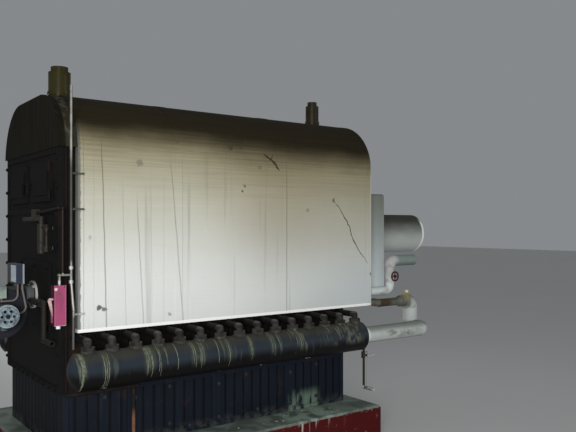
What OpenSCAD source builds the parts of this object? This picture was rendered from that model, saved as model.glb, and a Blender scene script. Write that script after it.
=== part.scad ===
// Sectional cast iron heating boiler on a painted plinth.
// Millimetres. X runs from the firing end to the flue end, Z is up, and the origin is the
// centre of the plinth's underside. The right side is the one at -Y.

/* [Plinth] */
// Length of the plinth, along the boiler
plinth_length = 2530; // [2440:10:3000]
// Width of the plinth
plinth_width = 1690; // [1500:10:2200]
// Height of the plinth
plinth_height = 270; // [120:5:400]
// Chamfer round the top edge of the plinth
plinth_chamfer = 14; // [2:1:40]

/* [Base panels] */
// Width over the outer faces of the ribbed base panels
base_width = 1106; // [980:2:1120]
// Height of the base panels
base_height = 381; // [300:1:420]
// Thickness of a base panel, without its ribs
panel_thickness = 22; // [14:1:40]
// Spacing of the upright grooves in a base panel
groove_pitch = 75; // [50:5:150]
// Width of one groove
groove_width = 16; // [6:1:30]
// Depth of one groove
groove_depth = 9; // [3:1:12]
// Width of the upright stile at each end of a panel
stile_width = 34; // [20:1:45]
// How far the stiles and the lips stand out from a panel
stile_depth = 9; // [3:1:16]
// Height of the lip along the top and the foot of a panel
lip_height = 26; // [12:1:50]
// Width of the ledge inside a panel that carries the sections
ledge_width = 62; // [30:1:110]

/* [Sections] */
// Distance from one section to the next
section_pitch = 150; // [130:1:180]
// Gap between two sections, filled with sealing rope
section_gap = 4; // [1:0.5:8]
// Width of the raised rim on each face of a section
rim_width = 24; // [12:1:40]
// Depth of the waist between the two rims of a section
waist_depth = 14; // [5:1:30]

/* [Jacket] */
// Width over the insulated jacket
jacket_width = 1230; // [1190:2:1300]
// Height of the jacket's crest above the plinth
jacket_crest = 2243; // [2100:1:2600]
// Height of the jacket's lower edge above the plinth
jacket_hem = 750; // [735:1:900]
// Radius of the jacket's shoulders, outside
shoulder_radius = 394; // [250:1:480]
// Thickness of the insulation and its sheet
jacket_thickness = 50; // [30:1:70]
// How far the jacket starts behind the front face of the first section
jacket_setback = 74; // [40:1:110]
// Length of the jacket past the last section
jacket_overhang = 255; // [180:5:300]
// Length of the front sheet
front_sheet_length = 689; // [500:1:900]
// Length of the middle sheet
middle_sheet_length = 877; // [700:1:1000]
// Width of the lap over each seam
lap_width = 34; // [15:1:60]
// Thickness of the lap
lap_thickness = 2; // [1:0.5:4]
// Height of the folded hem along the lower edge
hem_height = 20; // [8:1:40]

/* [Return headers] */
// Outside radius of a return header
header_radius = 109.5; // [80:0.5:125]
// Distance of a header's axis from the centre plane
header_offset = 779; // [770:1:830]
// Height of a header's axis above the plinth
header_height = 549; // [520:1:560]
// Radius of the domed ends of a header
header_dome_radius = 160; // [140:1:300]
// Radius of the screwed boss for each nipple
boss_radius = 41; // [36:1:50]
// Height of a boss above the crown of the header
boss_rise = 9; // [4:1:14]
// Outside radius of a nipple
nipple_radius = 23; // [16:0.5:24]
// Radius of the boss on a section that takes the nipple
section_boss_radius = 30; // [27:1:34]
// Size of the lower lock nut across its corners
header_nut_size = 88; // [64:1:96]
// Height of the lower lock nut
header_nut_height = 21; // [10:1:24]
// Size of the lock nut at the section across its corners
section_nut_size = 66; // [52:1:66]
// Height of the lock nut at the section
section_nut_height = 18; // [10:1:24]

/* [Front] */
// Thickness of the cast front plate
front_plate_thickness = 25; // [16:1:40]
// How far the front plate reaches past the sections on each side
front_plate_margin = 10; // [0:1:30]
// Height of the lower edge of the front lagging above the plinth
lagging_bottom = 1878; // [1780:1:1960]
// Thickness of the front lagging
lagging_thickness = 40; // [28:1:60]
// Width of a flue door
flue_door_width = 400; // [300:5:440]
// Height of a flue door
flue_door_height = 250; // [180:5:300]
// Thickness of a flue door
flue_door_thickness = 22; // [12:1:30]
// Width of the burner's mounting plate
burner_plate_width = 620; // [480:5:700]
// Height of the burner's mounting plate
burner_plate_height = 440; // [340:5:480]
// Thickness of the burner's mounting plate
burner_plate_thickness = 14; // [8:1:24]

/* [Burner] */
// Distance of the burner's axis from the centre plane
burner_offset = 98; // [0:1:130]
// Height of the burner's axis above the plinth
burner_height = 950; // [900:5:980]
// Radius of the blast tube
blast_tube_radius = 62; // [45:1:75]
// Length of the blast tube in front of its plate
blast_tube_length = 150; // [110:5:200]
// Radius of the fan's casing
fan_casing_radius = 150; // [125:1:180]
// Width of the fan's casing
fan_casing_width = 128; // [126:1:150]
// Radius of the motor
motor_radius = 68; // [55:1:85]
// Length of the motor
motor_length = 160; // [130:5:190]

/* [Steam outlets and flue] */
// Radius of the front steam riser over its lagging
front_riser_radius = 74; // [68:1:90]
// Bore radius of the front steam riser
front_riser_bore = 51; // [40:0.5:54]
// Radius of the rear steam riser over its lagging
rear_riser_radius = 57; // [52:1:75]
// Bore radius of the rear steam riser
rear_riser_bore = 38; // [30:0.5:42]
// Height of the risers above the crest
riser_height = 240; // [160:5:320]
// Thickness of the lagging on the risers
riser_lagging = 16; // [10:1:18]
// Length of the smoke box behind the jacket
smoke_box_length = 270; // [200:5:400]
// Width of the smoke box
smoke_box_width = 984; // [860:2:1080]
// Height of the smoke box's underside above the plinth
smoke_box_bottom = 814; // [800:1:900]
// Height of the smoke box's top above the plinth
smoke_box_top = 1670; // [1560:1:1800]
// Radius of the flue pipe over its lagging
flue_radius = 180; // [140:1:220]
// Wall of the flue pipe with its lagging
flue_wall = 30; // [20:1:50]
// Height of the flue pipe's axis above the plinth
flue_height = 1326; // [1250:1:1380]
// Length of the flue pipe
flue_length = 850; // [400:10:1000]

/* [Rear pipes] */
// Radius of the return pipe over its lagging
return_radius = 62; // [50:1:65]
// Radius of the thinner cross pipe that enters the rear hood
cross_pipe_radius = 32; // [26:1:38]
// Length of the straight run of the return pipe
return_run = 680; // [600:5:740]
// Radius of the feed pipe over its lagging
feed_radius = 46; // [38:1:50]

/* [Switch box and conduit] */
// Depth of the switch box, out from the edge of the front plate
switch_depth = 65; // [55:1:90]
// Width of the switch box, along the boiler
switch_width = 64; // [55:1:110]
// Height of the switch box
switch_height = 234; // [200:1:270]
// Radius of the conduit
conduit_radius = 8; // [6:0.5:9]

/* [Hidden] */
$fn = 48;
section_count = 15;
panel_joints = [450, 1075, 1700];
fit = 0.3;
conduit_clearance = 4;
nipple_clearance = 2;
overcut = 1;
sections_length = section_count * section_pitch;
front_x = -sections_length / 2;
rear_x = sections_length / 2;
base_top = plinth_height + base_height;
crest_z = plinth_height + jacket_crest;
hem_z = plinth_height + jacket_hem;
jacket_half = jacket_width / 2;
lining_half = jacket_half - jacket_thickness;
lining_radius = shoulder_radius - jacket_thickness;
lining_top = crest_z - jacket_thickness;
jacket_front_x = front_x + jacket_setback;
jacket_rear_x = rear_x + jacket_overhang;
front_seam_x = jacket_front_x + front_sheet_length;
rear_seam_x = front_seam_x + middle_sheet_length;
lagging_z = plinth_height + lagging_bottom;
header_z = plinth_height + header_height;
boss_top = header_z + header_radius + boss_rise;
section_boss_face = lining_half + waist_depth;
nipple_z = hem_z - nipple_clearance - section_boss_radius;
burner_y = -burner_offset;
burner_z = plinth_height + burner_height;
face_x = front_x + section_gap / 2;
plate_x = face_x - front_plate_thickness;
plate_half = lining_half + front_plate_margin;
header_inset = 25;
header_end_x = rear_x - header_inset;
lagging_step = 6;
plate_rim_width = 36;
plate_rim_depth = 8;
flue_door_clearance = 40;
flue_door_gap = 90;
cross_rib_z = lagging_z - 2 * plate_rim_width - flue_door_height - 2 * flue_door_clearance;
door_margin = 40;
door_panel_depth = 8;
hinge_length = 60;
hinge_radius = 12;
latch_reach = 30;
latch_inset = 20;
latch_radius = 8;
latch_length = 70;
burner_face_x = plate_x - burner_plate_thickness;
burner_flange_thickness = 14;
burner_flange_margin = 28;
fan_setback = 57;
fan_x = burner_face_x - burner_flange_thickness - blast_tube_length - fan_setback;
fan_drop = 105;
fan_z = burner_z - fan_drop;
fan_rim_width = 14;
fan_rim_depth = 8;
shutter_radius = 96;
shutter_depth = 34;
shutter_slots = 6;
shutter_slot_length = 44;
shutter_slot_circle = 62;
shutter_slot_width = 16;
motor_rim_width = 12;
motor_rim_step = 3;
motor_end_depth = 16;
motor_vents = 6;
motor_vent_radius = 9;
motor_vent_circle = 36;
motor_hub_radius = 11;
motor_hub_height = 5;
terminal_height = 26;
terminal_radius = 22;
control_offset = 90;
control_x = burner_face_x - control_offset;
control_depth = 46;
control_width = 220;
control_height = 126;
control_foot_height = 18;
control_z = burner_z + blast_tube_radius + control_foot_height;
control_foot_radius = 14;
cover_width = 120;
cover_foot = 12;
cover_head = 8;
cover_depth = 4;
actuator_length = 50;
actuator_width = 38;
actuator_height = 75;
actuator_foot_height = 100;
lead_radius = 6.5;
turn_swell = 1;
lead_bend = 40;
lead_inset = 28;
damper_lead_drop = 65;
motor_lead_inset = 10;
motor_lead_start = 30;
motor_lead_bulge = 22;
gas_setback = 24;
gas_x = burner_face_x - burner_flange_thickness - gas_setback;
gas_radius = 17;
gas_offset = 440;
gas_end_offset = 600;
gas_bore = 13;
gas_bore_depth = 90;
gas_drop = 30;
gas_foot_height = 316;
gas_foot_z = base_top + gas_foot_height;
cock_radius = 25;
cock_length = 70;
cock_inset = 40;
cock_reach = 44;
cock_stem_radius = 8;
cock_handle_length = 90;
cock_handle_width = 16;
cock_handle_thickness = 6;
column_setback = 62;
column_x = plate_x - column_setback;
column_offset = 420;
column_radius = 24;
column_pipe_radius = 14;
column_foot_height = 1230;
column_length = 180;
column_neck = 32;
column_foot_z = plinth_height + column_foot_height;
column_top_z = column_foot_z + column_length;
column_head_z = column_top_z + column_neck;
column_tap_y = -70;
glass_offset = 520;
glass_foot_rise = 30;
glass_head_drop = 20;
glass_foot_z = column_foot_z + glass_foot_rise;
glass_top_z = column_top_z - glass_head_drop;
glass_arm_radius = 9;
glass_nut_height = 34;
glass_nut_radius = 14;
glass_radius = 8;
pressure_box_offset = 300;
pressure_box_depth = 36;
pressure_box_width = 56;
pressure_box_height = 46;
switch_seat = 12;
switch_rise = 810;
switch_z = plinth_height + switch_rise;
switch_top_z = switch_z + switch_height;
switch_back_x = plate_x + switch_seat;
switch_x = switch_back_x - switch_width / 2;
lid_depth = 6;
lid_margin = 3;
gland_radius = 13;
gland_height = 24;
lever_inset = 28;
lever_height = 154;
lever_boss_radius = 7;
lever_reach = 22;
lever_width = 9;
lever_thickness = 12;
lever_bend_drop = 82;
lever_drop = 138;
lever_gap = 2;
conduit_setback = 47;
conduit_x = jacket_front_x - conduit_setback;
conduit_y = -jacket_half - lap_thickness - conduit_clearance - conduit_radius;
conduit_foot_height = 275;
conduit_foot_z = base_top + conduit_foot_height;
conduit_foot_setback = 33;
conduit_foot_x = jacket_front_x - conduit_foot_setback;
offset_foot_height = 890;
offset_foot_z = plinth_height + offset_foot_height;
offset_head_height = 1060;
offset_head_z = plinth_height + offset_head_height;
conduit_branch_height = 1106;
conduit_branch_z = plinth_height + conduit_branch_height;
coupling_height = 18;
coupling_step = 4;
coupling_spread = 42;
feeler_setback = 25;
feeler_x = face_x - feeler_setback;
feeler_height = 1505;
feeler_reach = 22;
feeler_stub = 12;
clamp_height = 12;
clamp_heights = [866, 1500, 1715];
elbow_step = 3;
ledge_pipe_radius = 11;
ledge_pipe_tail = 32;
riser_bare = 36;
collar_height = 46;
collar_width = 24;
collar_step = 6;
front_riser_setback = 89;
rear_riser_setback = 125;
smoke_box_corner = 26;
smoke_box_x = jacket_rear_x + smoke_box_length;
smoke_box_z = plinth_height + smoke_box_bottom;
flue_collar_width = 40;
flue_collar_step = 8;
return_offset = 672;
return_bend = 66;
cross_pipe_height = 771;
cross_pipe_z = plinth_height + cross_pipe_height;
cross_pipe_clearance = 4;
port_offset = 400;
port_width = 110;
port_height = 100;
union_length = 62;
union_step = 10;
union_ring_width = 12;
union_ring_step = 6;
reducer_length = 50;
plug_inset = 40;
plug_height = 26;
plug_radius = 14;
lagging_swell = 2;
feed_bore = 26;
feed_bore_depth = 180;
feed_height = 1102;
feed_foot_height = 848;
feed_valve_height = 971;
feed_z = plinth_height + feed_height;
feed_foot_z = plinth_height + feed_foot_height;
feed_valve_z = plinth_height + feed_valve_height;
feed_run = 284;
feed_setback = 28;
feed_x = smoke_box_x + feed_setback;
feed_clearance = 7;
feed_step = 10;
feed_drop_radius = feed_radius - feed_step;
feed_y = -smoke_box_width / 2 - feed_clearance - feed_drop_radius;
feed_bend = 50;
valve_height = 76;
valve_step = 6;
bonnet_radius = 20;
bonnet_length = 52;
wheel_radius = 38;
wheel_rim_radius = 6;
wheel_hub_radius = 12;
wheel_hub_length = 16;
wheel_spokes = 4;
wheel_spoke_radius = 4;
drain_radius = 14;
drain_gap = 52;
drain_reach = 105;
drain_foot_height = 143;
drain_cock_height = 395;
drain_foot_z = plinth_height + drain_foot_height;
drain_cock_z = plinth_height + drain_cock_height;
drain_cock_radius = 24;
drain_stem_length = 14;
drain_stem_radius = 9;
drain_handle_length = 80;
drain_handle_width = 10;
drain_handle_thickness = 6;

function section_name(n) = str("section_", n < 10 ? "0" : "", n);
function section_x(n) = front_x + (n - 0.5) * section_pitch;
function panel_edges() = concat([front_x], [for (length = panel_joints) front_x + length], [rear_x]);

// Extrudes a drawing of the cross section, with its x as model Y and its y as model Z
module along_x(x_start, x_end) {
    translate([x_start, 0, 0]) rotate([90, 0, 90]) linear_extrude(x_end - x_start) children();
}

// A round bar between two values of X, at a given Y and Z
module rod_x(x_start, x_end, y, z, radius) {
    translate([x_start, y, z]) rotate([0, 90, 0]) cylinder(r = radius, h = x_end - x_start);
}

module rod_y(y_start, y_end, x, z, radius) {
    translate([x, y_start, z]) rotate([-90, 0, 0]) cylinder(r = radius, h = y_end - y_start);
}

module rod_z(z_start, z_end, x, y, radius) {
    translate([x, y, z_start]) cylinder(r = radius, h = z_end - z_start);
}

// A round bar between any two points
module rod(start, end, radius) {
    span = end - start;
    translate(start) rotate([0, acos(span[2] / norm(span)), atan2(span[1], span[0])])
        cylinder(r = radius, h = norm(span));
}

// A quarter bend in the XZ plane round a centre, from one direction to a quarter turn on
module bend(centre, start_angle, bend_radius, radius) {
    translate(centre) rotate([90, 0, 0]) rotate([0, 0, start_angle])
        rotate_extrude(angle = 90) translate([bend_radius, 0]) circle(r = radius);
}

// The arched outline of the boiler, open to its own measures
module arch(half, bottom, top, radius) {
    translate([-half, bottom]) square([2 * half, top - radius - bottom]);
    translate([radius - half, bottom]) square([2 * (half - radius), top - bottom]);
    for (side = [-1, 1]) translate([side * (half - radius), top - radius]) circle(r = radius);
}

module both_sides() {
    children();
    mirror([0, 1, 0]) children();
}

// A slab along X with its top edges chamfered
module chamfered_slab(length, width) {
    half = width / 2;
    along_x(-length / 2, length / 2) polygon([
        [-half, 0], [half, 0], [half, plinth_height - plinth_chamfer],
        [half - plinth_chamfer, plinth_height], [plinth_chamfer - half, plinth_height],
        [-half, plinth_height - plinth_chamfer]]);
}

module plinth() {
    color("firebrick") intersection() {
        chamfered_slab(plinth_length, plinth_width);
        rotate([0, 0, 90]) chamfered_slab(plinth_width, plinth_length);
    }
}

// One ribbed panel of the base, drawn at its place on the right side
module base_panel(x_start, x_end) {
    outer = -base_width / 2;
    difference() {
        union() {
            translate([x_start, outer, plinth_height])
                cube([x_end - x_start, panel_thickness, base_height]);
            for (x = [x_start, x_end - stile_width])
                translate([x, outer - stile_depth, plinth_height])
                    cube([stile_width, stile_depth, base_height]);
            for (z = [plinth_height, base_top - lip_height])
                translate([x_start, outer - stile_depth, z])
                    cube([x_end - x_start, stile_depth, lip_height]);
            translate([x_start, outer, base_top - lip_height])
                cube([x_end - x_start, ledge_width, lip_height]);
        }
        for (x = [x_start + groove_pitch : groove_pitch : x_end - groove_pitch / 2])
            translate([x - groove_width / 2, outer - stile_depth / 2, plinth_height + lip_height])
                cube([groove_width, stile_depth / 2 + groove_depth, base_height - 2 * lip_height]);
    }
}

module base_side() {
    edges = panel_edges();
    color("darkslateblue") for (n = [1 : len(edges) - 1])
        base_panel(edges[n - 1] + fit, edges[n] - fit);
}

module base_side_right() base_side();

module base_side_left() mirror([0, 1, 0]) base_side();

// Front and rear panels of the base, between the side panels and notched round their ledges
module base_ends() {
    half = base_width / 2 - panel_thickness;
    ledge_half = base_width / 2 - ledge_width;
    middle_z = plinth_height + base_height / 2;
    color("darkslateblue") for (side = [-1, 1]) difference() {
        translate([side * (rear_x - panel_thickness / 2 - fit), 0, 0]) union() {
            translate([0, 0, middle_z - lip_height / 2])
                cube([panel_thickness, 2 * half, base_height - lip_height], center = true);
            translate([0, 0, middle_z])
                cube([panel_thickness, 2 * ledge_half, base_height], center = true);
        }
        for (y = [-half + groove_pitch : groove_pitch : half - groove_pitch / 2])
            translate([side * (rear_x - fit), y, middle_z])
                cube([2 * groove_depth, groove_width, base_height - 2 * lip_height], center = true);
    }
}

// One cast section: two rims, a waist between them and a boss for the nipple on each side
module section(n) {
    half_length = (section_pitch - section_gap) / 2;
    x = section_x(n);
    color("saddlebrown") {
        for (start = [-half_length, half_length - rim_width])
            along_x(x + start, x + start + rim_width)
                arch(lining_half, base_top, lining_top, lining_radius);
        along_x(x - half_length + rim_width, x + half_length - rim_width)
            arch(lining_half - waist_depth, base_top, lining_top - waist_depth,
                 lining_radius - waist_depth);
        both_sides()
            rod_y(-section_boss_face, -lining_half / 2, x, nipple_z, section_boss_radius);
    }
}

// Screwed nipples from the header up and across to each section, with a lock nut at each end
module nipple(n) {
    x = section_x(n);
    rod_z(boss_top, nipple_z, x, -header_offset, nipple_radius);
    translate([x, -header_offset, nipple_z]) sphere(r = nipple_radius);
    rod_y(-header_offset, -section_boss_face, x, nipple_z, nipple_radius);
    translate([x, -header_offset, boss_top])
        cylinder(r = header_nut_size / 2, h = header_nut_height, $fn = 6);
    translate([x, -section_boss_face, nipple_z]) rotate([90, 0, 0])
        cylinder(r = section_nut_size / 2, h = section_nut_height, $fn = 6);
}

module nipples() {
    color("dimgray") for (n = [1 : section_count]) nipple(n);
}

module nipples_right() nipples();

module nipples_left() mirror([0, 1, 0]) nipples();

// A shallow dome that closes an end of a header, at the plane x and bulging towards +X or -X
module header_dome(x, way) {
    rise = header_dome_radius - sqrt(pow(header_dome_radius, 2) - pow(header_radius, 2));
    translate([x, -header_offset, header_z]) rotate([0, way * 90, 0]) intersection() {
        cylinder(r = header_radius, h = header_dome_radius);
        translate([0, 0, rise - header_dome_radius]) sphere(r = header_dome_radius);
    }
}

// A header with a boss for each nipple and a dome at the firing end
module header() {
    color("darkslategray") {
        rod_x(front_x, header_end_x, -header_offset, header_z, header_radius);
        for (n = [1 : section_count])
            rod_z(header_z, boss_top, section_x(n), -header_offset, boss_radius);
        header_dome(front_x, -1);
    }
}

module return_header_right() header();

module return_header_left() mirror([0, 1, 0]) {
    header();
    color("darkslategray") header_dome(header_end_x, 1);
}

// One sheet of the jacket, with its folded hem
module jacket_sheet(x_start, x_end) {
    along_x(x_start, x_end) difference() {
        union() {
            arch(jacket_half, hem_z, crest_z, shoulder_radius);
            translate([-jacket_half - lap_thickness, hem_z])
                square([2 * (jacket_half + lap_thickness), hem_height]);
        }
        arch(lining_half, hem_z - overcut, lining_top, lining_radius);
    }
}

// The strip that laps over a seam
module seam_lap(x_start, x_end) {
    along_x(x_start, x_end) difference() {
        arch(jacket_half + lap_thickness, hem_z + hem_height, crest_z + lap_thickness,
             shoulder_radius + lap_thickness);
        arch(jacket_half, hem_z, crest_z, shoulder_radius);
    }
}

module jacket_front_sheet() {
    color("antiquewhite") {
        jacket_sheet(jacket_front_x, front_seam_x);
        seam_lap(jacket_front_x, jacket_front_x + lap_width);
    }
}

module jacket_middle_sheet() {
    color("linen") {
        jacket_sheet(front_seam_x, rear_seam_x);
        seam_lap(front_seam_x - lap_width, front_seam_x + lap_width);
        seam_lap(rear_seam_x - lap_width, rear_seam_x + lap_width);
    }
}

module jacket_rear_sheet() {
    color("antiquewhite") {
        jacket_sheet(rear_seam_x, jacket_rear_x);
        seam_lap(jacket_rear_x - lap_width, jacket_rear_x);
    }
}

// Lagging over the top of the front, wrapped on the first section
module front_lagging() {
    color("burlywood") {
        along_x(face_x - lagging_thickness, face_x) difference() {
            lagging_outline();
            translate([-jacket_width, 0]) square([2 * jacket_width, lagging_z]);
        }
        along_x(face_x, jacket_front_x) difference() {
            lagging_outline();
            arch(lining_half, base_top, lining_top, lining_radius);
            translate([-jacket_width, 0]) square([2 * jacket_width, lagging_z]);
        }
    }
}

module lagging_outline() {
    arch(jacket_half - lagging_step, hem_z, crest_z - lagging_step, shoulder_radius - lagging_step);
}

// Closed hood behind the last section, inside the jacket, with the port for the cross pipe
module rear_hood() {
    color("gainsboro") {
        along_x(-face_x, jacket_rear_x)
            arch(lining_half, hem_z, lining_top, lining_radius);
        translate([-face_x, -port_offset - port_width / 2, cross_pipe_z - port_height / 2])
            cube([jacket_rear_x + face_x, port_width,
                  hem_z + overcut + port_height / 2 - cross_pipe_z]);
    }
}

// Cast front over the first section, with a rim and a cross rib
module front_plate() {
    height = lagging_z - base_top;
    color("dimgray") {
        translate([plate_x, -plate_half, base_top])
            cube([front_plate_thickness, 2 * plate_half, height]);
        translate([plate_x - plate_rim_depth, 0, 0]) difference() {
            translate([0, -plate_half, base_top]) cube([plate_rim_depth, 2 * plate_half, height]);
            for (span = [[base_top + plate_rim_width, cross_rib_z],
                         [cross_rib_z + plate_rim_width, lagging_z - plate_rim_width]])
                translate([-overcut, plate_rim_width - plate_half, span[0]])
                    cube([plate_rim_depth + 2 * overcut, 2 * (plate_half - plate_rim_width),
                          span[1] - span[0]]);
        }
    }
}

// Two shut doors over the flueways, with hinge knuckles outside and a latch inside
module flue_doors() {
    bottom = (cross_rib_z + plate_rim_width + lagging_z - plate_rim_width - flue_door_height) / 2;
    front = plate_x - flue_door_thickness;
    color("slategray") both_sides() {
        inner = -flue_door_gap / 2;
        outer = inner - flue_door_width;
        translate([front, outer, bottom])
            cube([flue_door_thickness, flue_door_width, flue_door_height]);
        translate([front - door_panel_depth, outer + door_margin, bottom + door_margin])
            cube([door_panel_depth, flue_door_width - 2 * door_margin,
                  flue_door_height - 2 * door_margin]);
        for (z = [bottom + door_margin, bottom + flue_door_height - door_margin])
            rod_z(z - hinge_length / 2, z + hinge_length / 2, front, outer, hinge_radius);
        rod_x(front - latch_reach, front, inner - latch_inset, bottom + flue_door_height / 2,
              latch_radius);
        translate([front - latch_reach, inner - latch_inset - latch_radius,
                   bottom + flue_door_height / 2 - latch_length])
            cube([2 * latch_radius, 2 * latch_radius, latch_length]);
    }
}

module burner_plate() {
    color("darkslategray")
        translate([plate_x - burner_plate_thickness, burner_y - burner_plate_width / 2,
                   burner_z - burner_plate_height / 2])
            cube([burner_plate_thickness, burner_plate_width, burner_plate_height]);
}

// Blast tube with its flange, and the round casing of the fan with its slotted air shutter
module burner() {
    outer = burner_y + fan_casing_width / 2;
    color("lightsteelblue") {
        difference() {
            rod_y(outer, outer + shutter_depth, fan_x, fan_z, shutter_radius);
            for (n = [1 : shutter_slots])
                translate([fan_x, outer + shutter_depth, fan_z])
                    rotate([0, n * 360 / shutter_slots, 0])
                        translate([shutter_slot_circle, 0, 0])
                            cube([shutter_slot_length, shutter_depth, shutter_slot_width],
                                 center = true);
        }
        rod_x(burner_face_x - burner_flange_thickness, burner_face_x, burner_y, burner_z,
              blast_tube_radius + burner_flange_margin);
        rod_x(fan_x, burner_face_x - burner_flange_thickness, burner_y, burner_z,
              blast_tube_radius);
        rod_y(burner_y - fan_casing_width / 2, burner_y + fan_casing_width / 2, fan_x, fan_z,
              fan_casing_radius);
        for (side = [-1, 1])
            translate([fan_x, burner_y + side * (fan_casing_width / 2 - fan_rim_width / 2), fan_z])
                rotate([90, 0, 0])
                    cylinder(r = fan_casing_radius + fan_rim_depth, h = fan_rim_width, center = true);
    }
}

// Fan motor on the right of the casing, with a vented end bell and a terminal boss
module burner_motor() {
    inner = burner_y - fan_casing_width / 2;
    end = inner - motor_length;
    color("silver") {
        difference() {
            union() {
                rod_y(end, inner, fan_x, fan_z, motor_radius);
                rod_y(end, end + motor_rim_width, fan_x, fan_z, motor_radius + motor_rim_step);
                rod_y(end - motor_end_depth, end, fan_x, fan_z, motor_radius - motor_end_depth / 2);
            }
            for (n = [1 : motor_vents])
                rotate_about_fan(n * 360 / motor_vents)
                    rod_y(end - motor_end_depth - overcut, end + motor_rim_width,
                          fan_x + motor_vent_circle, fan_z, motor_vent_radius);
        }
        rod_y(end - motor_end_depth - motor_hub_height, end, fan_x, fan_z, motor_hub_radius);
        rod_z(fan_z - motor_radius - terminal_height, fan_z - motor_radius / 2, fan_x,
              inner - motor_length / 2, terminal_radius);
    }
}

// Turns its children round the fan's axis
module rotate_about_fan(angle) {
    translate([fan_x, 0, fan_z]) rotate([0, angle, 0]) translate([-fan_x, 0, -fan_z]) children();
}

// Flame control on its foot over the blast tube, with a raised cover on the front
module burner_control() {
    right = burner_y - control_width / 2;
    color("ghostwhite") {
        translate([control_x - control_depth, right, control_z])
            cube([control_depth, control_width, control_height]);
        translate([control_x - control_depth - cover_depth, right + cover_depth,
                   control_z + cover_foot])
            cube([cover_depth, cover_width, control_height - cover_foot - cover_head]);
        difference() {
            rod_z(burner_z, control_z, control_x - control_depth / 2, burner_y, control_foot_radius);
            rod_x(fan_x, burner_face_x, burner_y, burner_z, blast_tube_radius);
        }
    }
}

// Small actuator of the air damper, on the right of the fan's casing
module burner_actuator() {
    color("honeydew")
        translate([fan_x - actuator_length / 2,
                   burner_y - fan_casing_width / 2 - fit - actuator_width,
                   fan_z + actuator_foot_height])
            cube([actuator_length, actuator_width, actuator_height]);
}

// Flexible leads from the control, one to the damper's actuator and one to the motor
module burner_leads() {
    right = burner_y - control_width / 2;
    damper_x = control_x - control_depth / 2 - motor_lead_inset;
    damper_y = right + lead_inset;
    damper_z = control_z - damper_lead_drop;
    motor_y = right + motor_lead_inset;
    motor_x = control_x - motor_lead_inset;
    motor_turn_x = motor_x + motor_lead_bulge;
    motor_turn_z = fan_z + lead_bend;
    color("rosybrown") {
        rod_z(damper_z, control_z, damper_x, damper_y, lead_radius);
        bend([damper_x - lead_bend, damper_y, damper_z], -90, lead_bend, lead_radius);
        rod_x(fan_x, damper_x - lead_bend, damper_y, damper_z - lead_bend, lead_radius);
        translate([fan_x, damper_y, damper_z - lead_bend]) sphere(r = lead_radius + turn_swell);
        rod_z(damper_z - lead_bend, fan_z + actuator_foot_height, fan_x, damper_y, lead_radius);
        rod_z(control_z - motor_lead_start, control_z, motor_x, motor_y, lead_radius);
        translate([motor_x, motor_y, control_z - motor_lead_start])
            sphere(r = lead_radius + turn_swell);
        rod([motor_x, motor_y, control_z - motor_lead_start],
            [motor_turn_x, motor_y, motor_turn_z], lead_radius);
        translate([motor_turn_x, motor_y, motor_turn_z]) sphere(r = lead_radius + turn_swell);
        bend([motor_turn_x - lead_bend, motor_y, motor_turn_z], -90, lead_bend, lead_radius);
        rod_x(fan_x + motor_radius + fit, motor_turn_x - lead_bend, motor_y, fan_z, lead_radius);
    }
}

// Gas pipe from the right, with a cock before the blast tube
module gas_train() {
    top = burner_z - gas_drop;
    cock_start = cock_inset - gas_offset;
    cock_y = cock_start + cock_length / 2;
    color("olivedrab") {
        difference() {
            rod_y(-gas_offset, burner_y, gas_x, top, gas_radius);
            rod_x(gas_x - 2 * gas_radius, gas_x + 2 * gas_radius, burner_y, burner_z,
                  blast_tube_radius);
        }
        translate([gas_x, -gas_offset, top]) sphere(r = gas_radius + elbow_step);
        rod_z(gas_foot_z, top, gas_x, -gas_offset, gas_radius);
        translate([gas_x, -gas_offset, gas_foot_z]) sphere(r = gas_radius + elbow_step);
        difference() {
            rod_y(-gas_end_offset, -gas_offset, gas_x, gas_foot_z, gas_radius);
            rod_y(-gas_end_offset - overcut, gas_bore_depth - gas_end_offset, gas_x, gas_foot_z,
                  gas_bore);
        }
        rod_y(cock_start, cock_start + cock_length, gas_x, top, cock_radius);
        rod_x(gas_x - cock_reach, gas_x, cock_y, top, cock_stem_radius);
        translate([gas_x - cock_reach, cock_y - cock_handle_length / 2, top - cock_handle_width / 2])
            cube([cock_handle_thickness, cock_handle_length, cock_handle_width]);
    }
}

// Water column with its gauge glass, and the pressure control on its head pipe
module water_column() {
    color("goldenrod") {
        rod_z(column_foot_z, column_top_z, column_x, -column_offset, column_radius);
        rod_x(column_x, plate_x, -column_offset, column_foot_z + column_radius, column_pipe_radius);
        rod_z(column_top_z, column_head_z, column_x, -column_offset, column_pipe_radius);
        translate([column_x, -column_offset, column_head_z])
            sphere(r = column_pipe_radius + elbow_step);
        rod_y(-column_offset, column_tap_y, column_x, column_head_z, column_pipe_radius);
        translate([column_x, column_tap_y, column_head_z])
            sphere(r = column_pipe_radius + elbow_step);
        rod_x(column_x, plate_x, column_tap_y, column_head_z, column_pipe_radius);
        for (z = [glass_foot_z, glass_top_z]) {
            rod_y(-glass_offset, -column_offset, column_x, z, glass_arm_radius);
            rod_z(z - glass_nut_height / 2, z + glass_nut_height / 2, column_x, -glass_offset,
                  glass_nut_radius);
        }
        rod_z(glass_foot_z, glass_top_z, column_x, -glass_offset, glass_radius);
        translate([column_x - pressure_box_depth / 2, -pressure_box_offset - pressure_box_width / 2,
                   column_head_z])
            cube([pressure_box_depth, pressure_box_width,
                  pressure_box_height + column_pipe_radius]);
    }
}

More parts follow.
